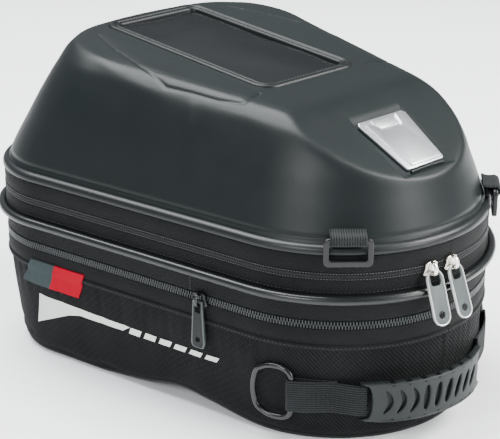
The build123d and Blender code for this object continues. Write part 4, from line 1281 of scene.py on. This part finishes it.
def expansion_hardware():
    """Black slider of the expansion zip and its tapered pull."""
    add_hardware("black_slider", slider_parts(), left_frame(EXPANSION_ALONG, 0.3, EXPANSION_Z),
                 "slider_black", "expansion_slider", replaces=["expansion_slider"])
    place = left_frame(EXPANSION_ALONG, PIVOT_OUT, EXPANSION_Z - PIVOT_DROP)
    foot = -EXPANSION_PULL_L
    outer = [(-3.4, 1.0), (3.4, 1.0), (3.9, 0.2), (5.6, foot + 3), (4.6, foot + 0.6), (2.6, foot),
             (-2.6, foot), (-4.6, foot + 0.6), (-5.6, foot + 3), (-3.9, 0.2)]
    inner = [(x * 0.8, foot / 2 + (y - foot / 2) * 0.965) for x, y in outer]
    window = rounded_loop(4.4, 6.4, 1.2, 5, (0, -4.3))
    core = flat_shape(inner, [window, ellipse(0, foot + 6, 1.8, 1.8)], 1.4, 0.25)
    rim = flat_shape(outer, [[(x * 0.97, y) for x, y in inner]], 1.9, 0.4)
    add_hardware("expansion_pull_core", core, place, "pull_rubber", "expansion_pull",
                 replaces=["expansion_pull"])
    add_hardware("expansion_pull_rim", rim, place, "puller_satin", "expansion_pull", slot="pull_rubber")


# ================================================================ underside
def release_tab():
    """Webbing tab folded through the latch's eye, its tail stitched together."""
    upper = [(-27, 0.8), (-18, 1.6), (-6, 2.5), (0, 2.4)]
    knots = upper + [(0.9, 0)] + [(x, -z) for x, z in reversed(upper)]
    path = [(LATCH_EYE[0] + x, LATCH_EYE[1], LATCH_EYE[2] + z) for x, z in curve_through(knots, 50)]
    add_ribbon("release_tab_webbing", path, 1.3, 9.6, (0, 1, 0), "latch", replaces=["release_tab"])


def finish_cad():
    """Gives the CAD nodes that stay in view their materials."""
    surfaces = {
        "base_plate": "plate_plastic", "lock_housing": "plate_plastic", "lock_backing_ring": "plate_plastic",
        "lock_latch": "lock_plastic", "lock_screws": "screw_steel",
    }
    for node, surface in surfaces.items():
        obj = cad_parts[node]
        obj.data.materials.clear()
        obj.data.materials.append(M[surface])


# ================================================================ stage, lights and camera
def stage():
    """Pale floor, world and soft lights."""
    surface = Shader("studio_floor", (0.86, 0.87, 0.88), 0.7)
    surface.tint(surface.noise(3, 2), 0.985, 1.0)
    bpy.ops.mesh.primitive_plane_add(size=12, location=(0, 0, -0.0005))
    floor = bpy.context.object
    floor.name = "studio_floor"
    floor.data.materials.append(surface.material)
    world = bpy.data.worlds.new("studio")
    world.use_nodes = True
    sky = world.node_tree.nodes["Background"]
    sky.inputs["Color"].default_value = (0.95, 0.97, 1.0, 1)
    sky.inputs["Strength"].default_value = 0.4
    bpy.context.scene.world = world
    lights = [
        ("key", (0.9, -0.9, 1.3), 0.9, 75, (1.0, 1.0, 0.98)),
        ("top", (-0.2, 0.7, 1.9), 1.6, 130, (0.97, 0.99, 1.0)),
        ("left", (-1.6, -0.5, 1.0), 0.8, 26, (0.97, 0.98, 1.0)),
        ("rider", (0.4, -1.6, 0.7), 0.8, 26, (1.0, 1.0, 1.0)),
    ]
    for name, place, size, power, color in lights:
        data = bpy.data.lights.new(name, "AREA")
        data.shape = "DISK"
        data.size, data.energy, data.color = size, power, color
        light = bpy.data.objects.new(name, data)
        light.location = place
        light.rotation_euler = (Vector((0, 0, 0.1)) - Vector(place)).to_track_quat("-Z", "Y").to_euler()
        bpy.context.scene.collection.objects.link(light)


def camera():
    """The photograph's camera, seen from the left of the nose."""
    az, el = radians(CAMERA_AZIMUTH), radians(CAMERA_ELEVATION)
    direction = Vector((-sin(az) * cos(el), cos(az) * cos(el), -sin(el)))
    data = bpy.data.cameras.new("photograph")
    data.lens, data.sensor_width = LENS, SENSOR
    obj = bpy.data.objects.new("photograph", data)
    obj.location = (Vector(CAMERA_TARGET) - direction * CAMERA_DISTANCE) * MM
    obj.rotation_euler = direction.to_track_quat("-Z", "Y").to_euler()
    data.clip_start, data.clip_end = 0.05, 60
    bpy.context.scene.collection.objects.link(obj)
    bpy.context.scene.camera = obj


# ================================================================ build
camera()
stage()
finish_cad()
wall_tree = lower_wall()
prints(wall_tree)
labels(wall_tree)
seam_binding()
plate_edge()
lower_lining()
fabric_band("base", "rim_band", 72.3, 83.5, 11)
fabric_band("collar", "collar_band", 89.5, 117.7, 12)
fabric_band("lid", "lid_band", 122.3, 133.9, 13)
zips()
piping()
end_seam()
gusset()
collar_lining()
trim()
hinge_tape()
shell()
lid_lining()
window()
badge()
strap_loops()
handle_webbing()
d_rings()
grip()
main_zip_hardware()
expansion_hardware()
release_tab()
